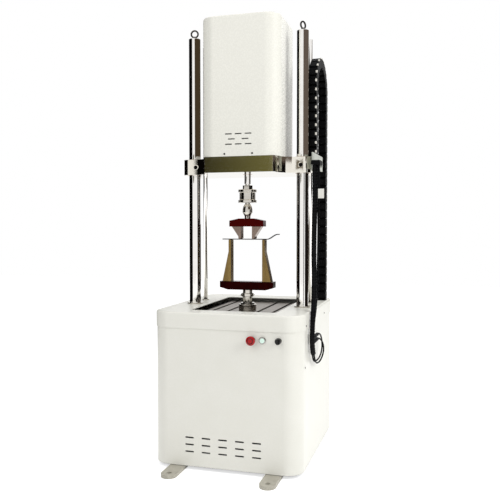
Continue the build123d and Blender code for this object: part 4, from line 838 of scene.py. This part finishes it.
class FATIGUE_OT_fixture(RigOperator, bpy.types.Operator):
    """Finishes the bending fixture and the strip"""

    bl_idname = "fatigue.fixture"
    bl_label = "Bending fixture"

    def execute(self, context):
        sizes = context.scene.fatigue_machine_fixture
        low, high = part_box("fixture_stem")
        self.middle = (low + high) / 2
        self.beams(sizes)
        self.arms(sizes)
        self.strip(sizes)
        softened("turned_stainless", "fixture_stem", "fixture_flange", "lock_ring")
        return {"FINISHED"}

    def bar(self, name, outlines, depth, finish_name, node, nose=None):
        """Bars that stand for a node, with rounded noses at a height where one is given."""
        mesh = bmesh.new()
        for outline in outlines:
            drawn(mesh, [(self.middle.x + x, z) for x, z in outline], depth, self.middle.y)
        if nose:
            height, radius = nose
            edges = [edge for edge in mesh.edges
                     if all(abs(vert.co.z - height) < 1e-6 for vert in edge.verts)
                     and abs(edge.verts[0].co.x - edge.verts[1].co.x) < 1e-6]
            bmesh.ops.bevel(mesh, geom=edges, offset=radius, segments=4, profile=0.5,
                            affect="EDGES", material=-1)
        piece = new_piece(name, mesh, [finish_name])
        soften(piece, bpy.context.scene.fatigue_machine_sizes.edge_break)
        stand_for(piece, node)

    def beams(self, sizes):
        """The upper beam slopes down to its ends, the lower one up."""
        low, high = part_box("upper_beam")
        half, shoulder = sizes.upper_half, sizes.upper_half - sizes.upper_slope
        side = high.z - sizes.upper_drop
        outline = [(-half, low.z), (half, low.z), (half, side), (shoulder, high.z),
                   (-shoulder, high.z), (-half, side)]
        self.bar("upper_beam_bar", [outline], sizes.beam_depth, "dark_red_anodising",
                 "upper_beam")
        low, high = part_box("lower_beam")
        half, shoulder = sizes.lower_half, sizes.lower_half - sizes.lower_slope
        side = low.z + sizes.lower_rise
        outline = [(-shoulder, low.z), (shoulder, low.z), (half, side), (half, high.z),
                   (-half, high.z), (-half, side)]
        self.bar("lower_beam_bar", [outline], sizes.beam_depth, "darker_red_anodising",
                 "lower_beam")

    def arms(self, sizes):
        """Four tapered arms, their inner faces upright."""
        low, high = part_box("upper_arms")
        inner, nose = sizes.upper_inset, sizes.upper_inset + sizes.upper_nose
        outline = [(inner, low.z), (nose, low.z), (nose, high.z - sizes.upper_taper),
                   (inner + sizes.upper_root, high.z), (inner, high.z)]
        self.bar("upper_arm_bars", self.both(outline), sizes.arm_depth, "milled_tool_steel",
                 "upper_arms", (low.z, sizes.nose_radius))
        low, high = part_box("lower_arms")
        inner, nose = sizes.lower_inset, sizes.lower_inset + sizes.lower_nose
        outline = [(inner, high.z), (nose, high.z), (nose, high.z - sizes.lower_straight),
                   (inner + sizes.lower_root, low.z), (inner, low.z)]
        self.bar("lower_arm_bars", self.both(outline), sizes.arm_depth, "olive_tool_steel",
                 "lower_arms", (high.z, sizes.nose_radius))

    def both(self, outline):
        """An outline and its mirror image."""
        return [outline, [(-x, z) for x, z in reversed(outline)]]

    def strip(self, sizes):
        """The strip, with its right end raised in an easy curve."""
        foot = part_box("test_strip")[0].z
        mesh = bmesh.new()
        block(mesh, (-sizes.strip_left, -sizes.strip_width / 2, 0),
              (sizes.strip_right, sizes.strip_width / 2, sizes.strip_thickness))
        long = [edge for edge in mesh.edges if abs(edge.verts[0].co.x - edge.verts[1].co.x) > 0.1]
        bmesh.ops.subdivide_edges(mesh, edges=long, cuts=80, use_grid_fill=True)
        for vert in mesh.verts:
            share = (vert.co.x - sizes.strip_bend) / (sizes.strip_crest - sizes.strip_bend)
            share = min(max(share, 0.0), 1.0)
            vert.co.z += sizes.strip_rise * share * share * (3 - 2 * share)
        bmesh.ops.translate(mesh, vec=(self.middle.x, self.middle.y, foot), verts=mesh.verts)
        piece = new_piece("bent_strip", mesh, ["blued_strip"])
        soften(piece, bpy.context.scene.fatigue_machine_sizes.edge_break)
        stand_for(piece, "test_strip")


class FATIGUE_OT_controls(RigOperator, bpy.types.Operator):
    """Finishes the stop, the lit button and the selector"""

    bl_idname = "fatigue.controls"
    bl_label = "Controls"

    def execute(self, context):
        coat("brushed_chrome", "control_bezels")
        coat("black_nylon", "contact_blocks", "estop_plunger")
        coat("black_phenolic", "selector_knob")
        coat("lit_polycarbonate", "lamp_button")
        softened("red_abs", "estop_head", width=0.0015)
        self.stop_ring()
        return {"FINISHED"}

    def stop_ring(self):
        """A thin black ring round the face of the stop's head: painted shade for the groove there.
        """
        low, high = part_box("estop_head")
        centre = ((low.x + high.x) / 2, low.y, (low.z + high.z) / 2)
        # Painted shade: no groove is cut; a thin black ring standing proud of the face stands for
        # its dark.
        inner, outer, proud = 0.0105, 0.0130, 0.0004
        profile = [(inner, -proud), (outer, -proud), (outer, proud), (inner, proud)]
        ring = turned("stop_groove_shade", profile, centre, "black_phenolic", closed=True, lying=True,
                      steps=48)
        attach(ring, "stop_head")


class FATIGUE_OT_chain(RigOperator, bpy.types.Operator):
    """Dresses the cable chain and its mounts"""

    bl_idname = "fatigue.chain"
    bl_label = "Cable chain"

    def execute(self, context):
        fixed = self.run("chain_fixed_links", "chain_fixed_run")
        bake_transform(fixed)
        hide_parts("chain_fixed_run")
        moving = self.run("chain_moving_links", "chain_moving_run")
        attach(moving, "crosshead")
        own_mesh(moving)
        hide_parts("chain_moving_run")
        bend = self.run("chain_bend_links", "chain_bend")
        stand_for(bend, "chain_bend")
        coat("grey_enamel", "cable_bracket", "chain_mount")
        coat("zinc_plate", "bracket_bolts")
        coat("black_nylon", "side_plugs")
        self.clamp()
        return {"FINISHED"}

    def clamp(self):
        """The bundle's clamp under the bracket, and the pale tag on its strap."""
        low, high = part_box("cable_clamp")
        middle = (low.z + high.z) / 2
        depth, height = 0.040, 0.020
        mesh = bmesh.new()
        block(mesh, (low.x, low.y + 0.004, middle - height / 2),
              (low.x + depth, high.y, middle + height / 2))
        body = soften(new_piece("clamp_body", mesh, ["black_nylon"]), 0.003, 3)
        stand_for(body, "cable_clamp")
        low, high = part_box("cable_tag")
        foot, face, strap = low.z - 0.010, 0.042, 0.008
        mesh = bmesh.new()
        block(mesh, (low.x, low.y, foot), (high.x - 0.008, high.y, foot + face))
        plate = len(mesh.faces)
        block(mesh, (low.x, low.y, foot + face), (low.x + strap, high.y, middle - height / 2))
        mesh.faces.ensure_lookup_table()
        for face in mesh.faces[plate:]:
            face.material_index = 1
        tag = soften(new_piece("tag_plate", mesh, ["white_abs", "black_nylon"]), 0.0008)
        stand_for(tag, "cable_tag")

    def run(self, name, node):
        """Links with pale clips on their outer right edge and the cables that they carry."""
        sizes = bpy.context.scene.fatigue_machine_sizes
        mesh = merged(node)
        for corners in self.clips(mesh, node, sizes):
            for face in {face for vert in corners for face in vert.link_faces}:
                face.material_index = 1
        for face in mesh.faces:
            face.tag = True
        self.carried(mesh, node, sizes)
        for face in mesh.faces:
            if not face.tag:
                face.material_index = 2
        finishes = ["black_nylon", "natural_nylon", "pvc_jacket"]
        return soften(new_piece(name, mesh, finishes), 0.0005, 1)

    def clips(self, mesh, node, sizes):
        """One clip a link, half sunk in the link's outer right edge."""
        low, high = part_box(node)
        bend_low, bend_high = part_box("chain_bend")
        reach = (bend_high.y - bend_low.y) / 2 + CLIP_PROUD
        middle = Vector((0, (bend_low.y + bend_high.y) / 2, bend_low.z))
        left, right = high.x - sizes.chain_clip, high.x + CLIP_PROUD
        if node == "chain_bend":
            made = []
            for step in range(BEND_CLIPS):
                corners = block(mesh, (left, reach - CLIP_HALF, -CLIP_HALF),
                                (right, reach, CLIP_HALF))
                turn = Matrix.Rotation(math.pi * (step + 0.5) / BEND_CLIPS, 4, "X")
                bmesh.ops.transform(mesh, matrix=Matrix.Translation(middle) @ turn, verts=corners)
                made.append(corners)
            return made
        outer = (low.y - CLIP_PROUD, low.y + CLIP_HALF)
        if node == "chain_fixed_run":
            outer = (high.y - CLIP_HALF, high.y + CLIP_PROUD)
        count = int((bend_low.z - low.z) / sizes.chain_pitch)
        heights = [bend_low.z - (step + 0.5) * sizes.chain_pitch for step in range(count)]
        return [block(mesh, (left, outer[0], height - CLIP_HALF),
                      (right, outer[1], height + CLIP_HALF)) for height in heights]

    def carried(self, mesh, node, sizes):
        """Three cables side by side inside the links."""
        low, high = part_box(node)
        bend_low, bend_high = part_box("chain_bend")
        radius = sizes.chain_cable / 2
        centre = Vector((0, (bend_low.y + bend_high.y) / 2, bend_low.z))
        inner = (bend_high.y - bend_low.y) / 2 - CABLE_DEPTH
        for step in (-1, 0, 1):
            x = (low.x + high.x) / 2 + step * sizes.chain_cable
            if node == "chain_bend":
                place = Matrix.Translation((x, centre.y + inner, centre.z))
                ring = bmesh.ops.create_circle(mesh, segments=12, radius=radius,
                                               matrix=place)["verts"]
                edges = list({edge for vert in ring for edge in vert.link_edges})
                bmesh.ops.spin(mesh, geom=ring + edges, cent=centre, axis=(1, 0, 0),
                               angle=math.pi, steps=24)
            else:
                place = Matrix.Translation((x, (low.y + high.y) / 2, (low.z + high.z) / 2))
                bmesh.ops.create_cone(mesh, cap_ends=True, segments=12, radius1=radius,
                                      radius2=radius, depth=high.z - low.z - 0.002, matrix=place)


class FATIGUE_OT_electrics(RigOperator, bpy.types.Operator):
    """Finishes the drive, power supply, fan and mains entry"""

    bl_idname = "fatigue.electrics"
    bl_label = "Electrics"

    def execute(self, context):
        coat("dark_enamel", "motor_drive")
        coat("galvanised_sheet", "power_supply")
        coat("black_nylon", "fan_frame", "fan_rotor", "mains_gland")
        return {"FINISHED"}


class FATIGUE_OT_stage(RigOperator, bpy.types.Operator):
    """Sets the pale floor, the white surround, the lamps and the cards that paint the reflections in
    metal
    """

    bl_idname = "fatigue.stage"
    bl_label = "Stage"

    def execute(self, context):
        context.scene.view_settings.view_transform = "Standard"
        self.surround(context)
        self.floor(context)
        for name, place, size, power in (
                ("key_lamp", (-1.6, -3.4, 3.6), 2.4, 40.0),
                ("side_lamp", (3.4, -1.2, 2.6), 2.0, 75.0),
                ("top_lamp", (0.2, 0.6, 4.6), 3.0, 34.0)):
            self.lamp(context, name, place, size, power)
        # Painted reflections: cards seen only in gloss. The hood cards put the hood's shaded sides
        # into the columns, and the head and ear cards paint the crosshead's mirror front, dark at
        # its left and olive at its right.
        black = ["070605"]
        self.bent_card(context, "left_card", (-148, -36), (-0.5, 4.6), black)
        self.bent_card(context, "right_low_card", (62, 146), (-0.5, 1.63), ["1A1512"])
        self.bent_card(context, "arm_card", (146, 172), (0.45, 1.08), ["4A3C2E"])
        self.bent_card(context, "right_high_card", (24, 146), (1.63, 4.6), ["655A52"])
        self.flat_card(context, "hood_left_card", (-0.205, -0.05, 1.70), (0.34, 0.60), "Y",
                       ["463A2A"])
        self.flat_card(context, "hood_right_card", (0.205, 0.00, 1.70), (0.24, 0.60), "Y",
                       black, one_sided=True)
        self.flat_card(context, "head_card", (-0.608, -2.0, 1.505), (0.684, 0.21), "X",
                       ["100C08", "706C40"])
        self.flat_card(context, "ear_card", (-0.162, -2.0, 1.52), (0.136, 0.18), "X", ["706858"])
        return {"FINISHED"}

    def surround(self, context):
        """White for the eye, for gloss and for glass, and a soft even light for the rest."""
        world = bpy.data.worlds.new("surround")
        world.use_nodes = True
        tree = world.node_tree
        tree.nodes.clear()
        rays = add(tree, "ShaderNodeLightPath")
        seen = add(tree, "ShaderNodeMath", {0: rays.outputs["Is Camera Ray"],
                                            1: rays.outputs["Is Glossy Ray"]}, operation="MAXIMUM")
        seen = add(tree, "ShaderNodeMath", {0: seen.outputs[0],
                                            1: rays.outputs["Is Transmission Ray"]},
                   operation="MAXIMUM")
        soft = add(tree, "ShaderNodeBackground", {"Color": (1, 1, 1, 1), "Strength": SOFT_LIGHT})
        white = add(tree, "ShaderNodeBackground", {"Color": (1, 1, 1, 1), "Strength": 1.0})
        mix = add(tree, "ShaderNodeMixShader", {0: seen.outputs[0], 1: soft.outputs[0],
                                                2: white.outputs[0]})
        add(tree, "ShaderNodeOutputWorld", {"Surface": mix.outputs[0]})
        context.scene.world = world

    def floor(self, context):
        """A pale floor that shows the machine's shadow faintly."""
        mesh = bmesh.new()
        bmesh.ops.create_grid(mesh, x_segments=1, y_segments=1, size=9.0)
        data = bpy.data.meshes.new("floor")
        mesh.to_mesh(data)
        mesh.free()
        floor = bpy.data.objects.new("floor", data)
        material = bpy.data.materials.new("pale_floor")
        material.use_nodes = True
        tree = material.node_tree
        tree.nodes.clear()
        rays = add(tree, "ShaderNodeLightPath")
        seen = add(tree, "ShaderNodeMath", {0: rays.outputs["Is Camera Ray"],
                                            1: rays.outputs["Is Glossy Ray"]}, operation="MAXIMUM")
        paint = add(tree, "ShaderNodeBsdfDiffuse", {"Color": (0.86, 0.86, 0.86, 1)})
        glow = add(tree, "ShaderNodeMath", {0: seen.outputs[0], 1: SOFT_LIGHT},
                   operation="MULTIPLY")
        light = add(tree, "ShaderNodeEmission", {"Color": (1, 1, 1, 1),
                                                 "Strength": glow.outputs[0]})
        both = add(tree, "ShaderNodeAddShader", {0: paint.outputs[0], 1: light.outputs[0]})
        add(tree, "ShaderNodeOutputMaterial", {"Surface": both.outputs[0]})
        data.materials.append(material)
        context.scene.collection.objects.link(floor)

    def lamp(self, context, name, place, size, power):
        """A square soft box that faces the machine."""
        data = bpy.data.lights.new(name, "AREA")
        data.size = size
        data.energy = power
        lamp = bpy.data.objects.new(name, data)
        lamp.location = place
        aim = Vector((0, 0, 1.0)) - Vector(place)
        lamp.rotation_euler = aim.to_track_quat("-Z", "Y").to_euler()
        lamp.visible_camera = False
        lamp.visible_glossy = False
        context.scene.collection.objects.link(lamp)

    def bent_card(self, context, name, bearings, heights, tones):
        """A tall card bent round the machine, between two bearings and two heights."""
        mesh = bmesh.new()
        start, end = bearings
        first = Vector((0, -CARD_REACH, heights[0]))
        first = Matrix.Rotation(math.radians(start), 4, "Z") @ first
        bmesh.ops.spin(mesh, geom=[mesh.verts.new(first)], cent=(0, 0, 0), axis=(0, 0, 1),
                       angle=math.radians(end - start), steps=24)
        lift = bmesh.ops.extrude_edge_only(mesh, edges=mesh.edges)
        raised = [item for item in lift["geom"] if isinstance(item, bmesh.types.BMVert)]
        bmesh.ops.translate(mesh, vec=(0, 0, heights[1] - heights[0]), verts=raised)
        self.hidden(context, name, mesh, tones)

    def flat_card(self, context, name, middle, size, axis, tones, one_sided=False):
        """An upright card, its face turned about X to the front or about Y to the side."""
        mesh = bmesh.new()
        bmesh.ops.create_grid(mesh, x_segments=1, y_segments=1, size=0.5)
        lengths = (size[0], size[1], 1, 1) if axis == "X" else (size[1], size[0], 1, 1)
        shape = Matrix.Translation(middle) @ Matrix.Rotation(math.pi / 2, 4, axis)
        shape = shape @ Matrix.Diagonal(lengths)
        bmesh.ops.transform(mesh, matrix=shape, verts=mesh.verts)
        self.hidden(context, name, mesh, tones, one_sided)

    def hidden(self, context, name, mesh, tones, one_sided=False):
        """A card that lights nothing, shades nothing and only shows in gloss: a painted reflection.
        """
        places = [vert.co.x for vert in mesh.verts]
        data = bpy.data.meshes.new(name)
        mesh.to_mesh(data)
        mesh.free()
        card = bpy.data.objects.new(name, data)
        data.materials.append(self.toned(name, tones, (min(places), max(places)), one_sided))
        card.visible_camera = False
        card.visible_diffuse = False
        card.visible_transmission = False
        card.visible_shadow = False
        card.visible_volume_scatter = False
        context.scene.collection.objects.link(card)

    def toned(self, name, tones, ends, one_sided):
        """One plain tone of painted reflection, or an even run from the first at the left to the
        second at the right.
        """
        material = bpy.data.materials.new(name)
        material.use_nodes = True
        tree = material.node_tree
        tree.nodes.clear()
        colour = linear(tones[0])
        if len(tones) > 1:
            place = add(tree, "ShaderNodeTexCoord").outputs["Object"]
            across = add(tree, "ShaderNodeSeparateXYZ", {0: place}).outputs[0]
            share = add(tree, "ShaderNodeMapRange", {"Value": across, "From Min": ends[0],
                                                     "From Max": ends[1]}).outputs[0]
            colour = add(tree, "ShaderNodeMix", {"Factor": share, "A": colour,
                                                 "B": linear(tones[1])},
                         data_type="RGBA").outputs[2]
        surface = add(tree, "ShaderNodeEmission", {"Color": colour, "Strength": 1.0}).outputs[0]
        if one_sided:
            behind = add(tree, "ShaderNodeNewGeometry").outputs["Backfacing"]
            clear = add(tree, "ShaderNodeBsdfTransparent").outputs[0]
            surface = add(tree, "ShaderNodeMixShader", {0: behind, 1: surface, 2: clear}).outputs[0]
        add(tree, "ShaderNodeOutputMaterial", {"Surface": surface})
        return material


OPERATORS = (
    FATIGUE_OT_camera,
    FATIGUE_OT_cables,
    FATIGUE_OT_cabinet,
    FATIGUE_OT_table,
    FATIGUE_OT_guides,
    FATIGUE_OT_crosshead,
    FATIGUE_OT_load_train,
    FATIGUE_OT_fixture,
    FATIGUE_OT_controls,
    FATIGUE_OT_chain,
    FATIGUE_OT_electrics,
    FATIGUE_OT_stage,
)


class FATIGUE_PT_panel(bpy.types.Panel):
    """Lists the machine's sizes, colours and pieces"""

    bl_label = "Fatigue Machine"
    bl_idname = "FATIGUE_PT_panel"
    bl_space_type = "VIEW_3D"
    bl_region_type = "UI"
    bl_category = "Fatigue Machine"

    def draw(self, context):
        layout = self.layout
        scene = context.scene
        groups = (scene.fatigue_machine_sizes, scene.fatigue_machine_fixture,
                  scene.fatigue_machine_colours)
        for group in groups:
            box = layout.box()
            for name in group.__annotations__:
                box.prop(group, name)
        for operator in OPERATORS:
            layout.operator(operator.bl_idname)


CLASSES = (FatigueMachineSizes, FatigueMachineFixture, FatigueMachineColours, *OPERATORS,
           FATIGUE_PT_panel)


def register():
    for item in CLASSES:
        bpy.utils.register_class(item)
    bpy.types.Scene.fatigue_machine_sizes = bpy.props.PointerProperty(type=FatigueMachineSizes)
    bpy.types.Scene.fatigue_machine_fixture = bpy.props.PointerProperty(type=FatigueMachineFixture)
    bpy.types.Scene.fatigue_machine_colours = bpy.props.PointerProperty(type=FatigueMachineColours)


def unregister():
    del bpy.types.Scene.fatigue_machine_colours
    del bpy.types.Scene.fatigue_machine_fixture
    del bpy.types.Scene.fatigue_machine_sizes
    for item in reversed(CLASSES):
        bpy.utils.unregister_class(item)


def main():
    """Makes every piece."""
    register()
    for operator in OPERATORS:
        area, name = operator.bl_idname.split(".")
        getattr(getattr(bpy.ops, area), name)()


if __name__ == "__main__":
    main()
